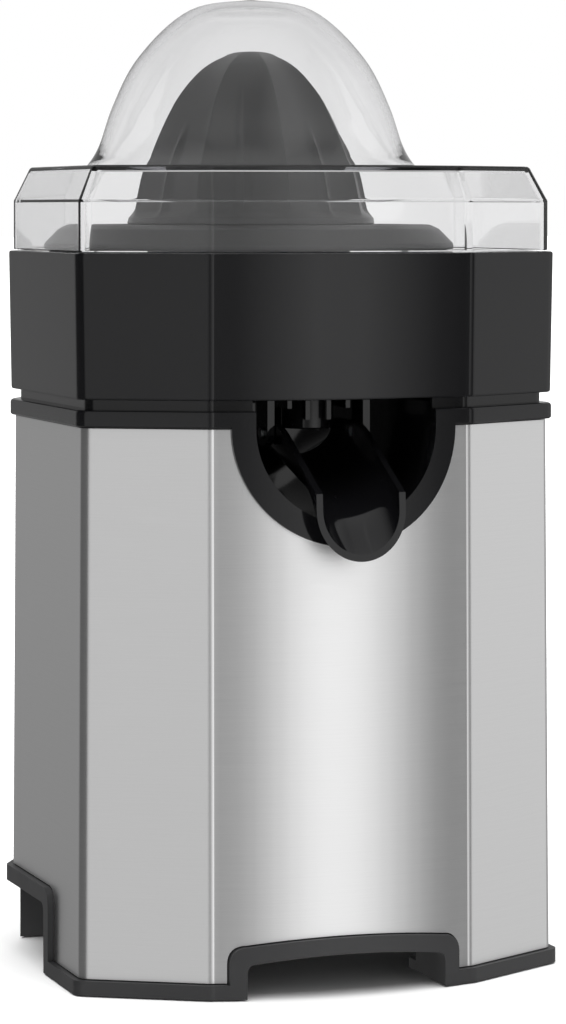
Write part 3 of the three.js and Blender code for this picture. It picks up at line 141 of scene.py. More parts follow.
def ramp(tree, factor, stops):
    """A colour ramp's output for grey levels or colours at the given places."""
    node = add_node(tree, "ShaderNodeValToRGB", inputs={0: factor})
    ramp_data = node.color_ramp
    while len(ramp_data.elements) < len(stops):
        ramp_data.elements.new(0.5)
    for element, (place, level) in zip(ramp_data.elements, stops):
        element.position = place
        colour = level if isinstance(level, tuple) else (level, level, level)
        element.color = (*colour, 1)
    return node.outputs["Color"]


# %% [markdown]
# A ray's heading picks its panel, and its height dims the panels towards the floor. Rays
# straight from the camera see plain white. Rays that have come through the clear cover see
# white too, greyer where they run steeply, which gives the dome's rim its tone.

# %% The world
scene = bpy.context.scene
scene.view_settings.view_transform = "Standard"
world = bpy.data.worlds.new("studio")
scene.world = world
world.use_nodes = True
sky = world.node_tree
sky.nodes.clear()
heading_of = add_node(sky, "ShaderNodeTexCoord").outputs["Generated"]
parts = add_node(sky, "ShaderNodeSeparateXYZ", inputs={0: heading_of}).outputs
turn = sums(sky, "ARCTAN2", parts["X"], sums(sky, "MULTIPLY", parts["Y"], -1.0))
place_on_ramp = sums(sky, "MULTIPLY_ADD", turn, 1 / math.tau, 0.5)
stops = [((degrees + 180) / 360, level / PANEL_PEAK) for degrees, level in PANELS]
panels = ramp(sky, place_on_ramp, stops)
height = sums(sky, "MULTIPLY_ADD", parts["Z"], 0.5, 0.5)
fade = ramp(sky, height, [(0.0, 0.5), (0.38, 0.72), (0.47, 1.0), (1.0, 0.8)])
studio = add_node(sky, "ShaderNodeMix", data_type="RGBA", blend_type="MULTIPLY",
                  inputs={0: 1.0, 6: panels, 7: fade}).outputs[2]
ceiling = ramp(sky, height, [(0.0, 0.2), (0.80, 0.0), (0.93, 0.6), (1.0, 0.75)])
studio = add_node(sky, "ShaderNodeMix", data_type="RGBA", blend_type="LIGHTEN",
                  inputs={0: 1.0, 6: studio, 7: ceiling}).outputs[2]
rays = add_node(sky, "ShaderNodeLightPath").outputs
seen = sums(sky, "MAXIMUM", rays["Is Camera Ray"], rays["Is Transmission Ray"])
steep = ramp(sky, height, [(0.10, 0.45), (0.28, 1.0), (0.72, 1.0), (0.90, 0.55)])
backdrop = add_node(sky, "ShaderNodeMix", data_type="RGBA", inputs={
    0: rays["Is Camera Ray"], 6: steep, 7: (1, 1, 1, 1)}).outputs[2]
shown = add_node(sky, "ShaderNodeMix", data_type="RGBA",
                 inputs={0: seen, 6: studio, 7: backdrop}).outputs[2]
strength = sums(sky, "MULTIPLY_ADD", seen, 1 - PANEL_PEAK, PANEL_PEAK)
glow = add_node(sky, "ShaderNodeBackground", inputs={"Color": shown, "Strength": strength})
add_node(sky, "ShaderNodeOutputWorld", inputs={"Surface": glow.outputs[0]})
print("world has", len(sky.nodes), "nodes")

# %% [markdown]
# The floor is a wide pale sheet. One broad light from above keeps it even, so that it
# runs into the backdrop with no horizon line, and only the dark under the arches shows.
# Mirror-like and see-through rays skip the floor, so the steel reflects the panels.

# %% Floor and overhead light
FLOOR_HALF = 30.0
FLOOR_TONE = (0.88, 0.88, 0.88, 1)
OVERHEAD_STRENGTH = 4.2
OVERHEAD_SPREAD = math.radians(95)

floor_mesh = bpy.data.meshes.new("floor")
corners = [(-FLOOR_HALF, -FLOOR_HALF), (FLOOR_HALF, -FLOOR_HALF), (FLOOR_HALF, FLOOR_HALF),
           (-FLOOR_HALF, FLOOR_HALF)]
floor_mesh.from_pydata([(x, y, 0) for x, y in corners], [], [(0, 1, 2, 3)])
floor = bpy.data.objects.new("floor", floor_mesh)
scene.collection.objects.link(floor)
floor.visible_glossy = False
floor.visible_transmission = False
floor_finish = bpy.data.materials.new("pale_floor")
floor_finish.use_nodes = True
floor_shader = floor_finish.node_tree.nodes["Principled BSDF"]
floor_shader.inputs["Base Color"].default_value = FLOOR_TONE
floor_shader.inputs["Roughness"].default_value = 1.0
floor_shader.inputs["Specular IOR Level"].default_value = 0.0
floor_mesh.materials.append(floor_finish)

overhead = bpy.data.objects.new("overhead", bpy.data.lights.new("overhead", "SUN"))
scene.collection.objects.link(overhead)
overhead.data.energy = OVERHEAD_STRENGTH
overhead.data.angle = OVERHEAD_SPREAD
overhead.visible_glossy = False
overhead.visible_transmission = False
print("floor and overhead light are in place")

# %% [markdown]
# Most pieces are made as a moulder makes them: a few clean closed solids are joined, and
# holes are cut out of them. Blender's Boolean modifier does both, so each helper returns
# a closed mesh, and join, cut and common put two or more of them together.

# %% Solids and how they are combined
def solid(points, faces):
    """A closed mesh with its faces turned outward."""
    mesh = bpy.data.meshes.new("solid")
    mesh.from_pydata(points, [], faces)
    work = bmesh.new()
    work.from_mesh(mesh)
    bmesh.ops.recalc_face_normals(work, faces=work.faces)
    if work.calc_volume(signed=True) < 0:
        bmesh.ops.reverse_faces(work, faces=work.faces)
    work.to_mesh(mesh)
    work.free()
    return mesh


def combine(base, tools, operation):
    """The base mesh after that Boolean operation with each tool in turn."""
    holder = bpy.data.objects.new("holder", base)
    scene.collection.objects.link(holder)
    helpers = []
    for tool in tools:
        helper = bpy.data.objects.new("helper", tool)
        scene.collection.objects.link(helper)
        helpers.append(helper)
        step = holder.modifiers.new("step", "BOOLEAN")
        step.solver = "MANIFOLD"
        step.operation = operation
        step.object = helper
    bpy.context.view_layer.update()
    graph = bpy.context.evaluated_depsgraph_get()
    result = bpy.data.meshes.new_from_object(holder.evaluated_get(graph))
    for helper in helpers:
        bpy.data.objects.remove(helper)
    bpy.data.objects.remove(holder)
    return result


def join(base, *tools):
    return combine(base, tools, "UNION")


def cut(base, *tools):
    return combine(base, tools, "DIFFERENCE")


def common(base, *tools):
    return combine(base, tools, "INTERSECT")


def moved(mesh, y=0.0, turn=0.0):
    """A copy of the mesh turned about Z by some degrees and then moved."""
    copy = mesh.copy()
    c, s = math.cos(math.radians(turn)), math.sin(math.radians(turn))
    for point in copy.vertices:
        a, b, h = point.co
        point.co = (c * a - s * b, s * a + c * b + y, h)
    return copy


# %% [markdown]
# A stack of outlines with the same number of points makes a loft: the sides are quads
# between one level and the next, and the two ends are closed with one flat face each.

# %% Lofts and slabs
def stack(levels):
    """A closed solid from rings of points, all of the same length, bottom to top."""
    count = len(levels[0])
    points = [point for level in levels for point in level]
    faces = [tuple(range(count)), tuple(range(len(points) - count, len(points)))]
    for level in range(len(levels) - 1):
        low, high = level * count, (level + 1) * count
        for i in range(count):
            j = (i + 1) % count
            faces.append((low + i, low + j, high + j, high + i))
    return solid(points, faces)


def slab(outline, low, high):
    return stack([[(x, y, z) for x, y in outline] for z in (low, high)])


def slab_along_x(outline, low, high):
    """The outline is in Y and Z."""
    return stack([[(x, y, z) for y, z in outline] for x in (low, high)])


def slab_along_y(outline, low, high):
    """The outline is in X and Z."""
    return stack([[(x, y, z) for x, z in outline] for y in (low, high)])


def block(x0, x1, y0, y1, z0, z1):
    return slab([(x0, y0), (x1, y0), (x1, y1), (x0, y1)], z0, z1)


# %% [markdown]
# Round pieces come off a lathe or out of a turned mould, so they are made from a circle or
# from half of their section, swept about Z. Points on the axis are shared, because a
# Boolean needs a closed surface with no doubled points.

# %% Rods and turned solids
def circle(radius, steps, x=0.0, y=0.0):
    turns = [math.tau * i / steps for i in range(steps)]
    return [(x + radius * math.cos(t), y + radius * math.sin(t)) for t in turns]


def rod(radius, low, high, x=0.0, y=0.0, steps=48):
    return slab(circle(radius, steps, x, y), low, high)


def turned(profile, steps=96):
    """A solid of revolution about Z from [radius, height] pairs; a closed loop makes a ring."""
    closed = profile[0][0] > 0
    points, rows = [], []
    for r, z in profile:
        copies = 1 if r == 0 else steps
        turns = [math.tau * i / steps for i in range(copies)]
        rows.append([len(points) + i % copies for i in range(steps)])
        points += [(r * math.cos(t), r * math.sin(t), z) for t in turns]
    faces = []
    for k in range(len(profile) if closed else len(profile) - 1):
        here, there = rows[k], rows[(k + 1) % len(rows)]
        for i in range(steps):
            j = (i + 1) % steps
            corners = [here[i], there[i], there[j], here[j]]
            faces.append(tuple(dict.fromkeys(corners)))
    return solid(points, faces)


def rounded(profile, radius, steps=4):
    """The closed profile with its corners rounded."""
    result = []
    count = len(profile)
    for i, corner in enumerate(profile):
        here = Vector(corner)
        back, on = Vector(profile[i - 1]) - here, Vector(profile[(i + 1) % count]) - here
        reach = min(radius, 0.45 * back.length, 0.45 * on.length)
        start, end = here + back.normalized() * reach, here + on.normalized() * reach
        for k in range(steps + 1):
            t = k / steps
            result.append(tuple((1 - t) ** 2 * start + 2 * t * (1 - t) * here + t * t * end))
    return result


# %% [markdown]
# The plan of the machine has eight sides. Its bends are true arcs with many steps, and the
# front face swells out a little. Two extra points close to each bend hold the flat faces
# flat, because smooth shading would otherwise spread the bend across them.

# %% The eight-sided outline
HALF_WIDTH, FRONT_HALF, FRONT_REACH, FRONT_BULGE = 75, 41.2, 85.1, 6.5
SIDE_FRONT, SIDE_BACK, BACK_HALF, BACK_REACH = 65.7, 11.3, 41.2, 69
BEND_RADIUS, BEND_STEPS, BULGE_STEPS, HOLD = 4.5, 8, 48, 0.5
DRAFT = 1.2
RIGHT_SIDE = [(FRONT_HALF, -FRONT_REACH), (HALF_WIDTH, -SIDE_FRONT), (HALF_WIDTH, SIDE_BACK),
              (BACK_HALF, BACK_REACH)]
PLAN = [Vector(p) for p in RIGHT_SIDE + [(-x, y) for x, y in reversed(RIGHT_SIDE)]]


def outline(grow):
    """The plan moved outward, as a list of [x, y] points that always has the same length."""
    corners = []
    for i, corner in enumerate(PLAN):
        ways = [(corner - PLAN[i - 1]).normalized(), (PLAN[(i + 1) % 8] - corner).normalized()]
        sides = [Vector((way.y, -way.x)) for way in ways]
        corners.append(corner + (sides[0] + sides[1]) * grow / (1 + sides[0].dot(sides[1])))
    points = []
    for i, corner in enumerate(corners):
        back = (corners[i - 1] - corner).normalized()
        on = (corners[(i + 1) % 8] - corner).normalized()
        half_turn = (math.pi - back.angle(on)) / 2
        reach = BEND_RADIUS * math.tan(half_turn)
        start, end = corner + back * reach, corner + on * reach
        if i > 0:
            points.append(start + back * HOLD)
        for k in range(BEND_STEPS + 1):
            t = k / BEND_STEPS
            points.append((1 - t) ** 2 * start + 2 * t * (1 - t) * corner + t * t * end)
        if i < 7:
            points.append(end + on * HOLD)
    right, left = points[0], points[-1]
    crown = Vector((0, right.y - 2 * FRONT_BULGE))
    for k in range(1, BULGE_STEPS):
        t = k / BULGE_STEPS
        points.append((1 - t) ** 2 * left + 2 * t * (1 - t) * crown + t * t * right)
    return [tuple(point) for point in points]


def loft(*levels):
    """A solid of the outline from [height, grow] pairs."""
    return stack([[(x, y, z) for x, y in outline(grow)] for z, grow in levels])


def prism(grow, low, high):
    return loft((low, grow), (high, grow))


print("outline has", len(outline(0)), "points")

# %% [markdown]
# A piece takes its mesh from millimetres to the frame, gets its finish, and rides on the
# CAD body that it belongs to. A narrow bevel catches the light along every hard edge, as
# the small radius of a real moulded or pressed edge does, and faces are shaded smooth up
# to a chosen angle. Normals are weighted by face area, so a broad flat wall reflects and
# refracts as a flat one, and only the narrow faces at its edges take up the turn.

# %% Turn a solid into a piece
def piece(name, mesh, finish, body, stands_for, bevel=0.3, angle=30, bevel_angle=40):
    """A named object in the frame, with its finish, body and the CAD nodes it shows."""
    for point in mesh.vertices:
        point.co = at(*point.co)
    mesh.name = name
    mesh.materials.clear()
    mesh.materials.append(finish)
    for face in mesh.polygons:
        face.material_index = 0
    thing = bpy.data.objects.new(name, mesh)
    scene.collection.objects.link(thing)
    if bevel:
        edge = thing.modifiers.new("edge", "BEVEL")
        edge.width = bevel * MM
        edge.segments = 2
        edge.limit_method = "ANGLE"
        edge.angle_limit = math.radians(bevel_angle)
        edge.use_clamp_overlap = True
    flat_faces = thing.modifiers.new("flat_faces", "WEIGHTED_NORMAL")
    flat_faces.keep_sharp = True
    mesh.shade_smooth()
    mesh.set_sharp_from_angle(angle=math.radians(angle))
    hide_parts(*stands_for)
    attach(thing, body)
    size = thing.dimensions / MM
    print(f"{name}: {len(mesh.polygons)} faces, {size.x:.1f} x {size.y:.1f} x {size.z:.1f} mm")
    return thing


# %% [markdown]
# Finishes are node materials that start from the Principled shader. Noise in object space
# then varies their tone, polish and relief a little, since no real surface is even, and it
# stays with a piece that moves.

# %% Helpers for finishes
def new_finish(name, colour, roughness, metallic=0.0, **sockets):
    """A Principled material and its node tree, with constants on the shader's own sockets."""
    material = bpy.data.materials.new(name)
    material.use_nodes = True
    tree = material.node_tree
    shader = tree.nodes["Principled BSDF"]
    shader.inputs["Base Color"].default_value = (*colour, 1)
    shader.inputs["Roughness"].default_value = roughness
    shader.inputs["Metallic"].default_value = metallic
    for socket, value in sockets.items():
        shader.inputs[socket.replace("_", " ")].default_value = value
    material.diffuse_color = (*colour, 1)
    return material, tree, shader


def noise(tree, scale, detail=3.0, stretch=(1, 1, 1), rough=0.5):
    """Noise in object space, so that it stays with the piece when it moves."""
    place = add_node(tree, "ShaderNodeTexCoord").outputs["Object"]
    stretched = add_node(tree, "ShaderNodeMapping", inputs={0: place, 3: stretch})
    return add_node(tree, "ShaderNodeTexNoise", inputs={
        "Vector": stretched.outputs[0], "Scale": scale, "Detail": detail,
        "Roughness": rough}).outputs["Fac"]


def vary(tree, shader, socket, factor, low, high):
    """Drives one of the shader's inputs between two values from a 0 to 1 factor."""
    spread = add_node(tree, "ShaderNodeMapRange", inputs={
        "Value": factor, "From Min": 0.3, "From Max": 0.7, "To Min": low, "To Max": high})
    tree.links.new(spread.outputs[0], shader.inputs[socket])


def tint(tree, shader, factor, low, high):
    """Drives the base colour between two colours."""
    mix = add_node(tree, "ShaderNodeMix", data_type="RGBA", inputs={
        0: factor, 6: (*low, 1), 7: (*high, 1)})
    tree.links.new(mix.outputs[2], shader.inputs["Base Color"])


def bump(tree, shader, height, strength, distance):
    """A bump of at most that distance in metres."""
    node = add_node(tree, "ShaderNodeBump", inputs={
        "Height": height, "Strength": strength, "Distance": distance})
    tree.links.new(node.outputs[0], shader.inputs["Normal"])


# %% [markdown]
# Brushed steel has a fine level grain, so its noise is stretched a long way round the body
# and squeezed in height. It moves the roughness and a very shallow bump. Anisotropy smears
# reflections up and down, across the grain, and keeps them crisper from side to side.

# %% Brushed steel
def brushed_steel():
    material, tree, shader = new_finish("brushed_steel", (0.80, 0.80, 0.80), 0.25, 1.0,
                                        Anisotropic=0.75, Anisotropic_Rotation=0.25)
    along = add_node(tree, "ShaderNodeTangent", direction_type="RADIAL", axis="Z")
    tree.links.new(along.outputs[0], shader.inputs["Tangent"])
    grain = noise(tree, 60, 4, (0.5, 0.5, 90), 0.6)
    fine = noise(tree, 150, 2, (0.5, 0.5, 60), 0.7)
    both = sums(tree, "MULTIPLY_ADD", fine, 0.5, sums(tree, "MULTIPLY", grain, 0.5))
    vary(tree, shader, "Roughness", both, 0.28, 0.40)
    tint(tree, shader, both, (0.82, 0.82, 0.825), (0.98, 0.98, 0.975))
    bump(tree, shader, both, 0.12, 0.00006)
    return material


# %% [markdown]
# The black mouldings come in two polishes. The collector and housing are nearly mirror
# bright, with a faint waviness where the plastic shrank as it cooled. The foot trim, the
# strainer and the reamer have a finer, duller skin that scatters the light.

# %% Black plastics
def gloss_black():
    material, tree, shader = new_finish("gloss_black", (0.0035, 0.0035, 0.004), 0.07, IOR=1.43)
    wave = noise(tree, 18, 2)
    bump(tree, shader, wave, 0.05, 0.0004)
    vary(tree, shader, "Roughness", noise(tree, 70, 3), 0.055, 0.10)
    return material


def satin_black(name="satin_black", low=(0.020, 0.020, 0.021), high=(0.032, 0.032, 0.033)):
    material, tree, shader = new_finish(name, low, 0.42)
    fine = noise(tree, 2600, 2)
    broad = noise(tree, 40, 3)
    tint(tree, shader, broad, low, high)
    vary(tree, shader, "Roughness", broad, 0.36, 0.48)
    bump(tree, shader, fine, 0.25, 0.00005)
    return material


STEEL, GLOSS, SATIN = brushed_steel(), gloss_black(), satin_black()
print("made", STEEL.name, GLOSS.name, SATIN.name)

# %% [markdown]
# The steel, the housing and the trim share two openings: the half-round mouth and the
# arches at the foot. Their outlines are drawn once here, from arcs and short curves.

# %% Curves for the mouth and the arches
STEEL_FOOT, COLLAR_Z, SEAT_GAP = 4.8, 170.1, 0.3
RECESS_Z, RECESS_RADIUS, BEZEL_WIDTH, BEZEL_LAP = 170, 28.5, 7, 2.5
BAND_TOP = 222


def half_round(radius, steps=48):
    """The mouth's outline in X and Z: half a circle, open upward."""
    turns = [math.pi + math.pi * k / steps for k in range(steps + 1)]
    arc = [(radius * math.cos(t), RECESS_Z + radius * math.sin(t)) for t in turns]
    return arc + [(radius, BAND_TOP), (-radius, BAND_TOP)]


def quarter(p0, p1, p2, steps=8):
    """Points on a quadratic curve, without the first."""
    a, b, c = Vector(p0), Vector(p1), Vector(p2)
    turns = [k / steps for k in range(1, steps + 1)]
    return [tuple((1 - t) ** 2 * a + 2 * t * (1 - t) * b + t * t * c) for t in turns]


def arch(left, right, top, crown, shoulder):
    """An arch with round shoulders and a slightly raised middle, open at the bottom."""
    middle = (left + right) / 2
    points = [(left, -5), (right, -5), (right, top - shoulder)]
    points += quarter(points[-1], (right, top), (right - shoulder, top))
    if crown:
        points += quarter(points[-1], (middle, top + 2 * crown), (left + shoulder, top), 24)
    else:
        points.append((left + shoulder, top))
    points += quarter(points[-1], (left, top), (left, top - shoulder))
    return points


# %% [markdown]
# There are four arches, one to a side. They are cut with slabs that run right through, and
# each edge can be moved outward, so that trim and steel follow the same curve.

# %% Arches
FRONT_ARCH_HALF, FRONT_ARCH_TOP, FRONT_ARCH_CROWN = 31.5, 11, 2
REAR_ARCH_HALF, REAR_ARCH_TOP = 30, 12
SIDE_ARCH_FRONT, SIDE_ARCH_BACK, SIDE_ARCH_TOP = -32, 26.5, 22
ARCH_EDGE, ARCH_SHOULDER = 5, 3
FAR = 150


def arches(grow):
    """Tools for the front, rear and side arches, with every edge moved outward."""
    shoulder = ARCH_SHOULDER + grow / 2
    front = arch(-FRONT_ARCH_HALF - grow, FRONT_ARCH_HALF + grow, FRONT_ARCH_TOP + grow,
                 FRONT_ARCH_CROWN, shoulder)
    rear = arch(-REAR_ARCH_HALF - grow, REAR_ARCH_HALF + grow, REAR_ARCH_TOP + grow, 0, shoulder)
    side = arch(SIDE_ARCH_FRONT - grow, SIDE_ARCH_BACK + grow, SIDE_ARCH_TOP + grow, 0, shoulder)
    return join(slab_along_y(front, -FAR, 0), slab_along_y(rear, -1, FAR),
                slab_along_x(side, -FAR, FAR))

# %% [markdown]
# The body is one sheet of steel folded round the eight sides. It is a millimetre thick
# and a little wider at its foot than at its top. A loft gives the outside, a second one
# is taken out of it for the wall, and the mouth and the four arches are cut through.

# %% Steel body
MOUTH_BACK = 40
foot, top = STEEL_FOOT + SEAT_GAP, COLLAR_Z - SEAT_GAP
outside = loft((foot, DRAFT), (foot + 1, DRAFT), (top - 1, 0), (top, 0))
steel_room = loft((foot - 1, DRAFT - 1), (top + 1, -1))
steel_mouth = slab_along_y(half_round(RECESS_RADIUS + BEZEL_WIDTH - BEZEL_LAP), -FAR, -MOUTH_BACK)
sleeve = cut(outside, steel_room, arches(ARCH_EDGE + SEAT_GAP), steel_mouth)
piece("steel_body", sleeve, STEEL, "housing", ["body_shell"], bevel=0.15)

# %% [markdown]
# The upper housing is one gloss black moulding. From outside it shows as the collar above
# the steel, the set-back neck, the bezel round the mouth and the half-round recess behind
# it. Lifting the collector off shows its deck and the boss that the drive shaft comes up
# through. Joining simple solids and cutting the mouth and bores last is how the tool for
# such a moulding is thought out, so the mesh is made the same way.

# %% Upper housing
COLLAR_TOP, DECK_Z, DECK_TOP, NECK_TOP, BOSS_TOP = 175.2, 174, 177, 181, 200
COLLAR_PROUD, NECK_INSET, RECESS_BACK, RECESS_WALL = 1.6, 1.6, 41.5, 2
BEZEL_ROOT = 3

inner = -NECK_INSET - 2
housing_room = prism(inner, 150, 190)
collar = loft((COLLAR_Z, COLLAR_PROUD - 0.5), (COLLAR_Z + 0.5, COLLAR_PROUD),
              (COLLAR_TOP - 0.9, COLLAR_PROUD), (COLLAR_TOP - 0.3, COLLAR_PROUD - 0.3),
              (COLLAR_TOP, COLLAR_PROUD - 0.9))
neck = prism(-NECK_INSET, COLLAR_TOP - 1, NECK_TOP)
skirt = prism(-1 - SEAT_GAP, 163, COLLAR_TOP)
walls = cut(join(collar, neck, skirt), housing_room)
deck = prism(inner + 1, DECK_Z, DECK_TOP)
bezel_round = slab_along_y(half_round(RECESS_RADIUS + BEZEL_WIDTH), -FAR, -MOUTH_BACK)
bezel_skin = cut(prism(COLLAR_PROUD, 120, COLLAR_Z + 1), prism(SEAT_GAP, 110, 190))
bezel_root = cut(prism(COLLAR_PROUD, 120, COLLAR_Z + 1), prism(-BEZEL_ROOT, 110, 190))
tunnel_round = half_round(RECESS_RADIUS + RECESS_WALL)
lip = common(slab_along_y(tunnel_round, -FAR, -MOUTH_BACK), bezel_root)
bezel = join(common(bezel_skin, bezel_round), lip)
tunnel = common(slab_along_y(tunnel_round, -FAR, -RECESS_BACK + RECESS_WALL),
                block(-100, 100, -FAR, 50, 100, DECK_Z + 1), prism(-1 - SEAT_GAP, 100, 200))

# %% [markdown]
# Under the deck stand eight screw posts: the four long ones reach down to the base plate
# and the four short ones carry the gearbox. Each one is a plain rod with a screw hole up
# its middle. The boss is turned, and its top is bored wide for a shaft seal.

# %% Boss, posts and bores of the upper housing
BASE_PLATE_TOP, POST_FOOT_Z, POST_RADIUS, SCREW_HOLE, SCREW_DEPTH = 30.8, 133.6, 4.5, 1.7, 10
BOSS_RADIUS, SHAFT_WAY, TOWER_WAY, SEAL_SEAT_RADIUS, SEAL_SEAT_Z = 9, 5, 10, 7.2, 196.3


def mirrored(*spots):
    """Each spot on the right and its mirror image on the left."""
    return [(way * x, y) for x, y in spots for way in (-1, 1)]


COLUMN_SPOTS, POST_SPOTS = mirrored((57, -50), (49, 33)), mirrored((37, -16), (32, 46))
r = BOSS_RADIUS
boss = turned([(0, DECK_Z), (r + 2, DECK_Z), (r + 2, DECK_TOP + 0.2), (r + 0.6, DECK_TOP + 1),
               (r, DECK_TOP + 3), (r, BOSS_TOP - 0.8), (r - 0.8, BOSS_TOP), (0, BOSS_TOP)], 64)
columns = [rod(POST_RADIUS, BASE_PLATE_TOP, DECK_Z + 1, x, y, 32) for x, y in COLUMN_SPOTS]
posts = [rod(POST_RADIUS, POST_FOOT_Z, DECK_Z + 1, x, y, 32) for x, y in POST_SPOTS]
whole = join(walls, deck, bezel, tunnel, boss, *columns, *posts)
mouth = slab_along_y(half_round(RECESS_RADIUS), -FAR, -RECESS_BACK)
bores = [rod(SHAFT_WAY, 100, 300), rod(TOWER_WAY, 100, DECK_Z - 2),
         rod(SEAL_SEAT_RADIUS, SEAL_SEAT_Z, 300)]
bores += [rod(SCREW_HOLE, 20, 46, x, y, 24) for x, y in COLUMN_SPOTS]
bores += [rod(SCREW_HOLE, 100, POST_FOOT_Z + SCREW_DEPTH, x, y, 24) for x, y in POST_SPOTS]
housing = cut(whole, mouth, *bores)
piece("upper_moulding", housing, GLOSS, "housing", ["upper_housing"], bevel=0.45)

# %% [markdown]
# The foot trim is a satin black band that carries the steel. It rises over an arch on
# every side, with a narrow ledge where the steel sits down on it, and it turns into four
# hollow feet. Each edge of the band follows the arch at the same distance, so the same
# arch outline is used twice, once grown by the width of the band.

# %% Foot trim
TRIM_FOOT, TRIM_PROUD, TRIM_INNER, TRIM_WALL, LEDGE, WEB = 0.5, 1.9, -1.3, 2.2, 4, 2
BASE_PLATE_Z = 28

wall_in, wall_top = TRIM_INNER - TRIM_WALL, BASE_PLATE_Z - SEAT_GAP
ledge_z = BASE_PLATE_Z - SEAT_GAP - WEB
wall = cut(prism(TRIM_INNER, TRIM_FOOT, wall_top), prism(wall_in, -1, wall_top + 1))
edge = join(block(-FAR, FAR, -FAR, FAR, -1, STEEL_FOOT), arches(ARCH_EDGE))
outer = prism(TRIM_PROUD + DRAFT, TRIM_FOOT, SIDE_ARCH_TOP + ARCH_EDGE)
rim = common(cut(outer, prism(wall_in, -1, 40)), edge)
ledge = cut(prism(TRIM_INNER - 1, ledge_z, wall_top), prism(wall_in - LEDGE, 0, 40))

# %% [markdown]
# Each foot is a box with one open side: a web stands at either end of every arch, and a
# sole joins them at the bottom. A hole in the sole takes the stem of a rubber pad.

# %% The four feet of the trim
FOOT_PAD_HEIGHT, FOOT_PAD_HOLE, FOOT_DEPTH, FOOT_INNER = 3.2, 6.5, 26, 52
FOOT_SPOTS = mirrored((56, -62), (50, 40))


def on_side(way, near, far):
    """The low and high X of a block on the left, when way is -1, or on the right."""
    return sorted((way * near, way * far))


within = prism(TRIM_INNER - 1, TRIM_FOOT, ledge_z + 1)
low, sole = TRIM_FOOT, FOOT_PAD_HEIGHT + SEAT_GAP
webs = [block(*on_side(way, FRONT_ARCH_HALF, FRONT_ARCH_HALF + WEB), -FAR, -SIDE_FRONT, low,
              ledge_z) for way in (-1, 1)]
webs += [block(*on_side(way, FOOT_INNER, FAR), y, y + WEB, low, ledge_z)
         for y in (SIDE_ARCH_FRONT - WEB, SIDE_ARCH_BACK) for way in (-1, 1)]
webs += [block(*on_side(way, REAR_ARCH_HALF, REAR_ARCH_HALF + WEB), BACK_REACH - FOOT_DEPTH, FAR,
               low, ledge_z) for way in (-1, 1)]
soles = [block(*on_side(way, arch_half, FAR), y0, y1, low, sole)
         for arch_half, y0, y1 in ((FRONT_ARCH_HALF, -FAR, SIDE_ARCH_FRONT),
                                   (REAR_ARCH_HALF, SIDE_ARCH_BACK, FAR)) for way in (-1, 1)]
feet = cut(common(join(*webs, *soles), within), prism(-FOOT_DEPTH, -1, 60))
pad_holes = [rod(FOOT_PAD_HOLE, -1, 5, x, y, 32) for x, y in FOOT_SPOTS]
trim = cut(join(cut(join(wall, rim, ledge), arches(0)), feet), *pad_holes)
piece("foot_trim", trim, SATIN, "housing", ["base_trim"], bevel=0.4)

# %% [markdown]
# The juice collector carries the broad gloss band round the top of the machine, which
# leans out by less than a millimetre from foot to rim. Inside it is a round bowl with a
# chimney for the drive and a nozzle that drops the juice into the spout. Under the nozzle
# stand the two ears that the spout hangs from, with stiffening ribs between them.

# %% Juice collector
BAND_Z, BAND_PROUD_FOOT, BAND_PROUD_TOP, PLASTIC_WALL = 178.3, 1.3, 1.95, 2.2
BOWL_RADIUS, BOWL_FLOOR_Z, CHIMNEY_TOP, CHIMNEY_BORE = 63, 182, 206, 10.5
NOZZLE_Y, NOZZLE_RADIUS, NOZZLE_DROP = -54, 8, 14
HINGE_Y, HINGE_Z, PIN_RADIUS = -60, 167, 1.6
EAR_X, EAR_WALL = 14.3, 2.2


def disc_along_x(radius, low, high, y, z, steps=32):
    return slab_along_x([(y + a, z + b) for a, b in circle(radius, steps)], low, high)


slope = (BAND_PROUD_TOP - BAND_PROUD_FOOT) / (BAND_TOP - BAND_Z)
skirt_out = loft((BAND_Z, BAND_PROUD_FOOT - 0.6), (BAND_Z + 0.2, BAND_PROUD_FOOT - 0.2),
                 (BAND_Z + 0.7, BAND_PROUD_FOOT + 0.7 * slope),
                 (BAND_TOP - 0.7, BAND_PROUD_TOP - 0.7 * slope),
                 (BAND_TOP - 0.2, BAND_PROUD_TOP - 0.2), (BAND_TOP, BAND_PROUD_TOP - 0.6))
skirt_in = loft((BAND_Z - 1, BAND_PROUD_FOOT - PLASTIC_WALL),
                (BAND_TOP - PLASTIC_WALL, BAND_PROUD_TOP - PLASTIC_WALL))
BOWL_TOP_CUT = 230
low_z, r = BOWL_FLOOR_Z, BOWL_RADIUS + PLASTIC_WALL
bowl = turned([(0, low_z), (r - 3, low_z), (r - 0.6, low_z + 0.9), (r, low_z + 3), (r, BAND_TOP),
               (0, BAND_TOP)], 128)
low_z, r = BOWL_FLOOR_Z + PLASTIC_WALL, BOWL_RADIUS
bowl_room = turned([(0, low_z), (r - 3, low_z), (r - 0.9, low_z + 0.9), (r, low_z + 3),
                    (r, BOWL_TOP_CUT), (0, BOWL_TOP_CUT)], 128)
r = CHIMNEY_BORE + PLASTIC_WALL
chimney = turned([(0, BOWL_FLOOR_Z), (r + 2.3, BOWL_FLOOR_Z), (r + 2.3, low_z + 0.2),
                  (r + 0.7, low_z + 1), (r, low_z + 2.8), (r, CHIMNEY_TOP - 0.7),
                  (r - 0.7, CHIMNEY_TOP), (0, CHIMNEY_TOP)], 64)
low_z, r = BOWL_FLOOR_Z - NOZZLE_DROP, NOZZLE_RADIUS
nozzle = turned([(0, low_z), (r - 0.4, low_z), (r, low_z + 0.4), (r, BOWL_FLOOR_Z - 4),
                 (r + 1.4, BOWL_FLOOR_Z + 1), (0, BOWL_FLOOR_Z + 1)], 48)

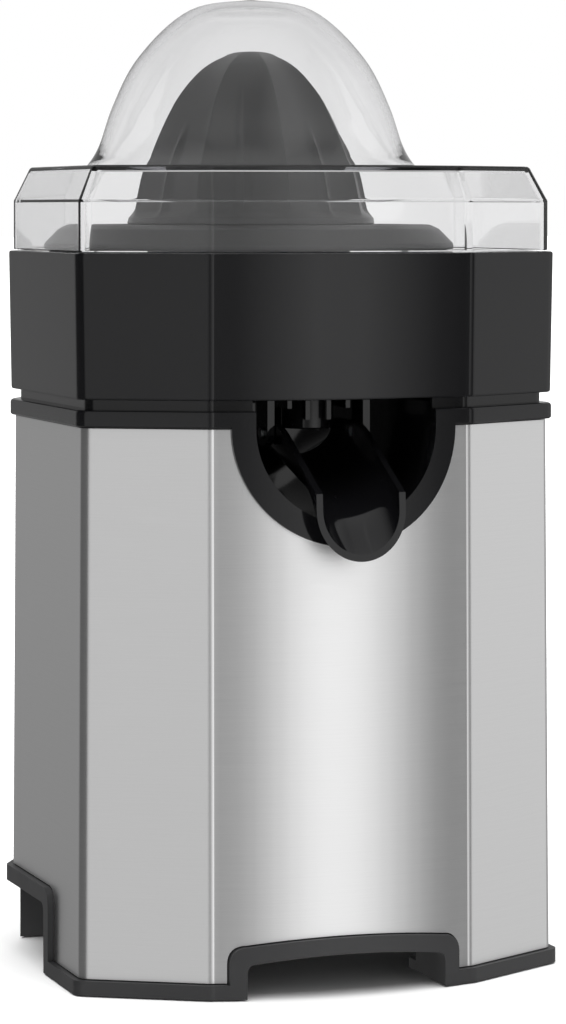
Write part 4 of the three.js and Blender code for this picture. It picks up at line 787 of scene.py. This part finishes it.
# %% [markdown]
# The two ears hang from the bowl's floor, one on either side of the spout, with a hole for
# its pins. Four thin ribs in front of the nozzle stiffen the floor between them.

# %% Ears, ribs and the whole collector
RIB_HALF = 0.7
ears = []
for way in (-1, 1):
    tab = [(HINGE_Y - 5, HINGE_Z), (HINGE_Y - 5, BOWL_FLOOR_Z + 1), (HINGE_Y + 5, BOWL_FLOOR_Z + 1),
           (HINGE_Y + 5, HINGE_Z)]
    tab += [(HINGE_Y + 5 * math.cos(t), HINGE_Z - 4 * math.sin(t))
            for t in (math.pi * k / 16 for k in range(1, 16))]
    ear = slab_along_x(tab, *on_side(way, EAR_X, EAR_X + EAR_WALL))
    ears.append(cut(ear, disc_along_x(PIN_RADIUS + 0.3, -40, 40, HINGE_Y, HINGE_Z)))
shell = cut(join(cut(skirt_out, skirt_in), bowl), bowl_room)
ribs = []
for x, y0, y1, rib_foot in ((3.4, -64.5, -60, 171), (9.4, -65, -53, 174.5)):
    for centre in (-x, x):
        ribs.append(block(centre - RIB_HALF, centre + RIB_HALF, y0, y1, rib_foot,
                          BOWL_FLOOR_Z + 0.5))
body = join(shell, chimney, moved(nozzle, y=NOZZLE_Y), *ears, *ribs)
collector = cut(body, rod(CHIMNEY_BORE, 0, 300), rod(NOZZLE_RADIUS - 2, 0, 200, 0, NOZZLE_Y))
piece("collector_moulding", collector, GLOSS, "collector", ["juice_collector"],
      bevel=0.35)

# %% [markdown]
# The spout is a trough whose upright U section is set along a curve: its underside runs
# forward nearly level and then bends down to the lip, and its rim falls after the hinge.
# Each station is one ring of points, a thick U, and quads join one ring to the next. Cuts
# then give the rim its fall and the lip its lean, and a bevel rounds the free edges.

# %% Spout
SPOUT_WIDTH, SPOUT_WALL, SPOUT_REACH, SPOUT_LIP_Z, SPOUT_RIM_Z = 28, 2, 103.7, 131, 170.5
SPOUT_BACK_Y, SPOUT_DEPTH, LIP_LEAN, LIP_RIM_Z, RIM_BEND = -43, 24, 4, 150.5, 66
SPOUT_COURSE = [(43, 158), (71.6, 150.5), (91.6, 143.5), (SPOUT_REACH, SPOUT_LIP_Z)]


def course(stops, steps):
    """Points along a smooth curve through the stops."""
    knots = [Vector(p) for p in stops]
    ends = [2 * knots[0] - knots[1]] + knots + [2 * knots[-1] - knots[-2]]
    gaps = [(ends[i + 1] - ends[i]).length ** 0.5 for i in range(len(ends) - 1)]
    result = []
    for leg in range(1, len(ends) - 2):
        p0, p1, p2, p3 = ends[leg - 1:leg + 3]
        g0, g1, g2 = gaps[leg - 1:leg + 2]
        m1 = ((p1 - p0) / g0 - (p2 - p0) / (g0 + g1) + (p2 - p1) / g1) * g1
        m2 = ((p2 - p1) / g1 - (p3 - p1) / (g1 + g2) + (p3 - p2) / g2) * g1
        for k in range(steps):
            t = k / steps
            a = 2 * (p1 - p2) + m1 + m2
            b = -3 * (p1 - p2) - 2 * m1 - m2
            result.append(a * t ** 3 + b * t ** 2 + m1 * t + p1)
    return result + [knots[-1]]


def trough(wall, steps=12):
    """The trough, or its whole solid when no wall is given."""
    half = SPOUT_WIDTH / 2
    turns = [math.pi + math.pi * k / 40 for k in range(41)]
    section = [(-half, SPOUT_DEPTH)]
    section += [(half * math.cos(t), half + half * math.sin(t)) for t in turns]
    section.append((half, SPOUT_DEPTH))
    if wall:
        thin = half - wall
        section.append((thin, SPOUT_DEPTH))
        section += [(thin * math.cos(t), half + thin * math.sin(t)) for t in reversed(turns)]
        section.append((-thin, SPOUT_DEPTH))
    return stack([[(x, -stop.x, stop.y + rise) for x, rise in section]
                  for stop in course(SPOUT_COURSE, steps)])

# %% [markdown]
# A moulded spout is trimmed where its tool opens: level along the rim, falling to the lip,
# and leaning a little at the lip itself. The cuts use slabs, and a hole takes the pins.

# %% Cut the spout to shape
def turned_about_x(mesh, degrees, y, z):
    """The mesh turned about the X direction and then moved to y and z."""
    c, s = math.cos(math.radians(degrees)), math.sin(math.radians(degrees))
    for point in mesh.vertices:
        a, b, h = point.co
        point.co = (a, c * b - s * h + y, s * b + c * h + z)
    return mesh


back_wall = common(trough(0), block(-40, 40, SPOUT_BACK_Y - SPOUT_WALL, 0, 100, 220))
lip_cut = turned_about_x(block(-40, 40, -60, 0, -40, 80), -LIP_LEAN, -SPOUT_REACH, SPOUT_LIP_Z)
hinge_hole = disc_along_x(PIN_RADIUS + 0.3, -40, 40, HINGE_Y, HINGE_Z)
fall = (SPOUT_RIM_Z - LIP_RIM_Z) / (SPOUT_REACH - RIM_BEND)
soft = quarter((-RIM_BEND + 8, SPOUT_RIM_Z), (-RIM_BEND, SPOUT_RIM_Z),
               (-RIM_BEND - 8, SPOUT_RIM_Z - 8 * fall), 10)
above = [(10, SPOUT_RIM_Z), (10, 230), (-124, 230), (-124, SPOUT_RIM_Z - fall * (124 - RIM_BEND))]
rim_cut = slab_along_x(above + list(reversed(soft)) + [(-RIM_BEND + 8, SPOUT_RIM_Z)], -40, 40)
behind = block(-40, 40, SPOUT_BACK_Y, 10, 100, 220)
spout_mesh = cut(join(trough(SPOUT_WALL), back_wall), rim_cut, behind, lip_cut, hinge_hole)
piece("pouring_spout", spout_mesh, GLOSS, "spout", ["spout"], bevel=0.8,
      bevel_angle=50)

# %% [markdown]
# The strainer basket is turned: a stepped rim that sits on the collector, a trough that
# catches the pulp and a floor with slots all round. The slots are narrow blocks repeated
# about the axis, left out where the pulp tab travels.

# %% Strainer basket
BASKET_SEAT, BASKET_FLOOR, BASKET_RIM, BASKET_WALL, BASKET_RADIUS = 222.3, 221, 230, 1.8, 64.6
BASKET_HOLE = CHIMNEY_BORE + PLASTIC_WALL + 2.4 + 2
SLOT_COUNT, SLOT_WIDTH, SLOT_IN, SLOT_OUT = 20, 1.8, 41.5, 49
TAB_HEADING, TAB_HALF, TAB_TRAVEL, TAB_IN, TAB_OUT = 90, 4, 18, 46, 48.6


def sector(near, far, half, heading, low, high, steps=16):
    """Part of a flat ring, centred on a heading in degrees."""
    turns = [math.radians(heading - half + 2 * half * k / steps) for k in range(steps + 1)]
    arc = [(far * math.cos(t), far * math.sin(t)) for t in turns]
    arc += [(near * math.cos(t), near * math.sin(t)) for t in reversed(turns)]
    return slab(arc, low, high)


def juice_slots(low, high):
    headings = [360 * i / SLOT_COUNT for i in range(SLOT_COUNT)]
    clear = TAB_TRAVEL + TAB_HALF + 6
    slot = block(SLOT_IN, SLOT_OUT, -SLOT_WIDTH / 2, SLOT_WIDTH / 2, low, high)
    return [moved(slot, turn=h) for h in headings if abs(h - TAB_HEADING) > clear]


w, f, seat = BASKET_WALL, BASKET_FLOOR, BASKET_SEAT
basket_profile = [
    (BASKET_RADIUS, seat), (BASKET_RADIUS, seat + w), (60, BASKET_RIM - 1.3), (57, BASKET_RIM),
    (53, BASKET_RIM), (50.8, BASKET_RIM - 1.5), (50, f + w), (BASKET_HOLE + w, f + w),
    (BASKET_HOLE + w, f + 4.2), (BASKET_HOLE, f + 4.2), (BASKET_HOLE, f), (50 + w, f),
    (50.8 + w, BASKET_RIM - 2.4), (53.6, BASKET_RIM - w), (56.6, BASKET_RIM - w),
    (59, BASKET_RIM - 2.8), (BASKET_RADIUS - w, seat + 1.4), (BASKET_RADIUS - w, seat)]
tab_way = sector(TAB_IN - 0.6, TAB_OUT + 0.6, TAB_TRAVEL + TAB_HALF + 1, TAB_HEADING, f - 1,
                 f + w + 1)
basket = cut(turned(rounded(basket_profile, 0.6), 128), *juice_slots(f - 1, f + w + 1), tab_way)
piece("strainer", basket, SATIN, "basket", ["strainer_basket"], bevel=0.2)

# %% [markdown]
# The selector is a slotted ring under the basket's floor. Its tab stands up through the
# floor so that a thumb can slide it, which opens or closes the slots.

# %% Pulp selector
SELECTOR_WALL = 1.7
SELECTOR_Z = BASKET_FLOOR - SEAT_GAP - SELECTOR_WALL
plate = turned([(SLOT_OUT + 1, SELECTOR_Z), (SLOT_OUT + 1, SELECTOR_Z + SELECTOR_WALL),
                (SLOT_IN - 1.5, SELECTOR_Z + SELECTOR_WALL), (SLOT_IN - 1.5, SELECTOR_Z)], 96)
tab = sector(TAB_IN, TAB_OUT, TAB_HALF, TAB_HEADING, SELECTOR_Z, BASKET_RIM - 1)
selector = cut(join(plate, tab), *juice_slots(0, BASKET_FLOOR))
piece("pulp_slide", selector, SATIN, "selector", ["pulp_selector"], bevel=0.25)

# %% [markdown]
# The reamer squeezes the fruit: eight long ridges run from the tip to the rim, with broad
# hollows between them and a shorter, lower ridge in the middle of each hollow that breaks
# up the pulp. The cone is one grid of points on a smooth curve. Each point is drawn in by
# how far it lies from the nearest ridge, so the crests stay crisp and the hollows round.

# %% Reamer
CONE_TIP, CONE_BASE, CONE_RADIUS, RIDGES, HOLLOW_DEPTH = 285.4, 230, 39.4, 8, 2.6
CONE_CURVE = [(0, CONE_TIP), (6, 284.9), (15.2, 280.6), (24.6, 270), (31.8, 255.7), (35.8, 246),
              (38.6, 234), (CONE_RADIUS, 232)]
RING_STEPS = 192
HUB_RADIUS, HUB_TOP, SHAFT_ROUND, SHAFT_FLAT, SHAFT_TOP = 7, 277, 4.3, 3.5, 227


def ridge_radius(radius, z, turn):
    """The radius of the cone's skin at a turn in radians."""
    share = abs(((turn * RIDGES / math.tau + 0.5) % 1) - 0.5) * 2
    body = min(1.0, max(0.0, (radius - 3) / 9)) * min(1.0, max(0.0, (z - 231.5) / 3))
    depth = HOLLOW_DEPTH * body * min(1.0, radius / CONE_RADIUS + 0.2)
    sink = depth * math.sin(math.pi / 2 * share) ** 0.85
    near_middle = max(0.0, 1 - (1 - share) / 0.16)
    low_part = min(1.0, max(0.0, (262 - z) / 8))
    return radius - sink + 1.3 * body * low_part * near_middle


levels = []
for spot in course(CONE_CURVE, 10):
    if spot.x > 0.01:
        levels.append([(ridge_radius(spot.x, spot.y, t) * math.cos(t),
                        ridge_radius(spot.x, spot.y, t) * math.sin(t), min(spot.y, CONE_TIP))
                       for t in (math.tau * k / RING_STEPS for k in range(RING_STEPS))])
levels.reverse()
foot = [[(r * math.cos(t), r * math.sin(t), z) for t in
         (math.tau * k / RING_STEPS for k in range(RING_STEPS))]
        for r, z in ((CONE_RADIUS - 0.5, CONE_BASE), (CONE_RADIUS, CONE_BASE + 0.4))]
cone = stack(foot + levels)
cone_room = turned([(0, 228), (34, 228), (34, 232), (31, 240), (24, 252), (12, 268), (0, 275)], 64)
skirt_bore = CHIMNEY_BORE + PLASTIC_WALL + 1
chimney_skirt = turned([(skirt_bore + 1.8, CHIMNEY_TOP + 1), (skirt_bore + 1.8, 266),
                        (skirt_bore, 266), (skirt_bore, CHIMNEY_TOP + 1)], 64)
hub = rod(HUB_RADIUS, CHIMNEY_TOP + 1, HUB_TOP)
socket = common(rod(SHAFT_ROUND, 100, SHAFT_TOP),
                block(-SHAFT_FLAT, SHAFT_FLAT, -20, 20, 100, 300))
reamer = cut(join(cut(cone, cone_room), chimney_skirt, hub), socket)
piece("reamer_cone", reamer, satin_black("reamer_black", (0.030, 0.030, 0.031),
      (0.045, 0.045, 0.046)), "reamer", ["reamer"], bevel=0, angle=38)

# %% [markdown]
# The cover is injection moulded in clear plastic two millimetres thick, so it is a real
# shell with an outer and an inner skin: light bends at both, which draws the dark lines at
# its edges. A little absorption greys the long paths of light through those edges.

# %% Clear plastic
def clear_plastic():
    material, tree, shader = new_finish("clear_plastic", (1, 1, 1), 0.0, IOR=1.49)
    shader.inputs["Transmission Weight"].default_value = 1.0
    vary(tree, shader, "Roughness", noise(tree, 30, 2), 0.0, 0.012)
    bump(tree, shader, noise(tree, 22, 1), 0.02, 0.0003)
    absorb = add_node(tree, "ShaderNodeVolumeAbsorption",
                      inputs={"Color": (0.5, 0.5, 0.52, 1), "Density": 75.0})
    output = next(n for n in tree.nodes if n.type == "OUTPUT_MATERIAL")
    tree.links.new(absorb.outputs[0], output.inputs["Volume"])
    return material


# %% [markdown]
# The dome's section is one smooth curve, used twice: once for the skin and once drawn in by
# the wall. The eight-sided part below it is lofted in the same way.

# %% Cover
SHOULDER_TOP, PLATE_TOP, DOME_TOP, SHOULDER_PROUD, PLATE_INSET = 238, 248.2, 301.9, 0.45, 4.7
COVER_WALL, COVER_FOOT = 2, 222.3
DOME_FOOT = 52.9
DOME_CURVE = [(DOME_FOOT, PLATE_TOP), (50.4, 251.6), (48.4, 255.5), (44.3, 267.5), (36.3, 282.9),
              (19.5, 298.4), (0, DOME_TOP)]


def dome(wall):
    """The solid under the dome's skin, or under its inner face when a wall is given."""
    rise = DOME_TOP - PLATE_TOP
    profile = [(0, SHOULDER_TOP - 4), (DOME_FOOT - wall, SHOULDER_TOP - 4)]
    spots = course(DOME_CURVE, 8)
    for spot in spots[:-1]:
        inward = wall if spot.x > wall else 0.9 * spot.x
        drop = wall * (spot.y - PLATE_TOP) / rise
        profile.append((spot.x - inward, min(spot.y, DOME_TOP) - drop))
    profile.append((0, DOME_TOP - wall))
    return turned(profile, 128)


sides = loft((COVER_FOOT, SHOULDER_PROUD - 0.2), (COVER_FOOT + 0.3, SHOULDER_PROUD),
             (SHOULDER_TOP - 0.6, SHOULDER_PROUD), (SHOULDER_TOP - 0.1, SHOULDER_PROUD - 0.1),
             (SHOULDER_TOP + 0.4, SHOULDER_PROUD - 0.4),
             (PLATE_TOP - 0.6, -PLATE_INSET + 0.35), (PLATE_TOP - 0.15, -PLATE_INSET - 0.1),
             (PLATE_TOP, -PLATE_INSET - 0.5))
in_grow = SHOULDER_PROUD - COVER_WALL
inside = loft((COVER_FOOT - 1, in_grow), (SHOULDER_TOP - 0.9, in_grow),
              (SHOULDER_TOP - 0.5, in_grow - 0.25),
              (PLATE_TOP - COVER_WALL - 0.4, -PLATE_INSET - 0.9),
              (PLATE_TOP - COVER_WALL, -PLATE_INSET - 1.5))
cover = cut(join(sides, dome(0)), inside, dome(COVER_WALL))
piece("clear_cover", cover, clear_plastic(), "cover", ["dust_cover"], bevel=0,
      angle=15)

# %% [markdown]
# The CAD model's inner parts already have the right shape, so they keep their meshes and
# only get finishes: moulded nylon gears, sintered bronze bushes, zinc-plated screws and
# shafts, a laminated iron core, varnished copper windings and soft black rubber. Each
# material varies a little in tone and polish, as the real stock does.

# %% Finishes for the inner parts
def speckled(name, low, high, roughness, metallic, scale, depth):
    """A finish that drifts between two tones, with a fine bump of its own grain."""
    material, tree, shader = new_finish(name, low, roughness, metallic)
    broad = noise(tree, scale, 4)
    tint(tree, shader, broad, low, high)
    vary(tree, shader, "Roughness", noise(tree, 3 * scale, 3), roughness * 0.8, roughness * 1.25)
    bump(tree, shader, noise(tree, 12 * scale, 2), 0.3, depth)
    return material


def layered(name, low, high, roughness, pitch, level):
    """A finish of thin layers stacked along Z, such as stamped sheets or turns of wire."""
    material, tree, shader = new_finish(name, low, roughness, level)
    place = add_node(tree, "ShaderNodeTexCoord").outputs["Object"]
    rise = add_node(tree, "ShaderNodeSeparateXYZ", inputs={0: place}).outputs["Z"]
    wave = sums(tree, "PINGPONG", rise, pitch / 2)
    height = sums(tree, "DIVIDE", wave, pitch / 2)
    tint(tree, shader, height, low, high)
    bump(tree, shader, height, 0.6, 0.00012)
    vary(tree, shader, "Roughness", noise(tree, 120, 3), roughness * 0.8, roughness * 1.3)
    return material


RUBBER = speckled("black_rubber", (0.012, 0.012, 0.012), (0.026, 0.026, 0.025), 0.78, 0, 220,
                  0.00006)
NYLON = speckled("white_nylon", (0.70, 0.67, 0.58), (0.80, 0.77, 0.68), 0.42, 0, 90, 0.00003)
BRONZE = speckled("sintered_bronze", (0.42, 0.27, 0.12), (0.60, 0.41, 0.20), 0.45, 1, 320, 0.00005)
ZINC = speckled("zinc_steel", (0.58, 0.60, 0.62), (0.74, 0.75, 0.76), 0.30, 1, 160, 0.00002)
CASING = speckled("grey_casing", (0.035, 0.037, 0.042), (0.060, 0.063, 0.068), 0.55, 0, 140,
                  0.00005)
COPPER = layered("copper_winding", (0.40, 0.13, 0.05), (0.78, 0.36, 0.18), 0.34, 0.0011, 1.0)
IRON = layered("laminated_iron", (0.16, 0.17, 0.18), (0.34, 0.35, 0.37), 0.42, 0.0010, 1.0)

# %% [markdown]
# Each finish goes to the parts whose names start in one of the listed ways.

# %% Give the inner parts their finishes
CARRIED = [
    (RUBBER, "rubber_foot_ cord_gland shaft_seal gearbox_pad_"),
    (NYLON, "idler_gear output_gear spring_seat switch_button"),
    (BRONZE, "lower_bush upper_bush rotor_bearing_ switch_lever"),
    (ZINC, "base_screw_ gearbox_screw_ motor_screw_ idler_axle drive_shaft rotor_shaft "
           "return_spring motor_bracket spout_pin_"),
    (COPPER, "stator_coil_"),
    (IRON, "stator_core rotor_core"),
    (CASING, "gearbox_lower gearbox_upper"),
    (SATIN, "base_plate switch_body"),
]
finished = 0
for finish, starts in CARRIED:
    for node_name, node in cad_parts.items():
        if node_name.startswith(tuple(starts.split())):
            node.data.materials.clear()
            node.data.materials.append(finish)
            for face in node.data.polygons:
                face.material_index = 0
            finished += 1
print("gave finishes to", finished, "carried-over parts")
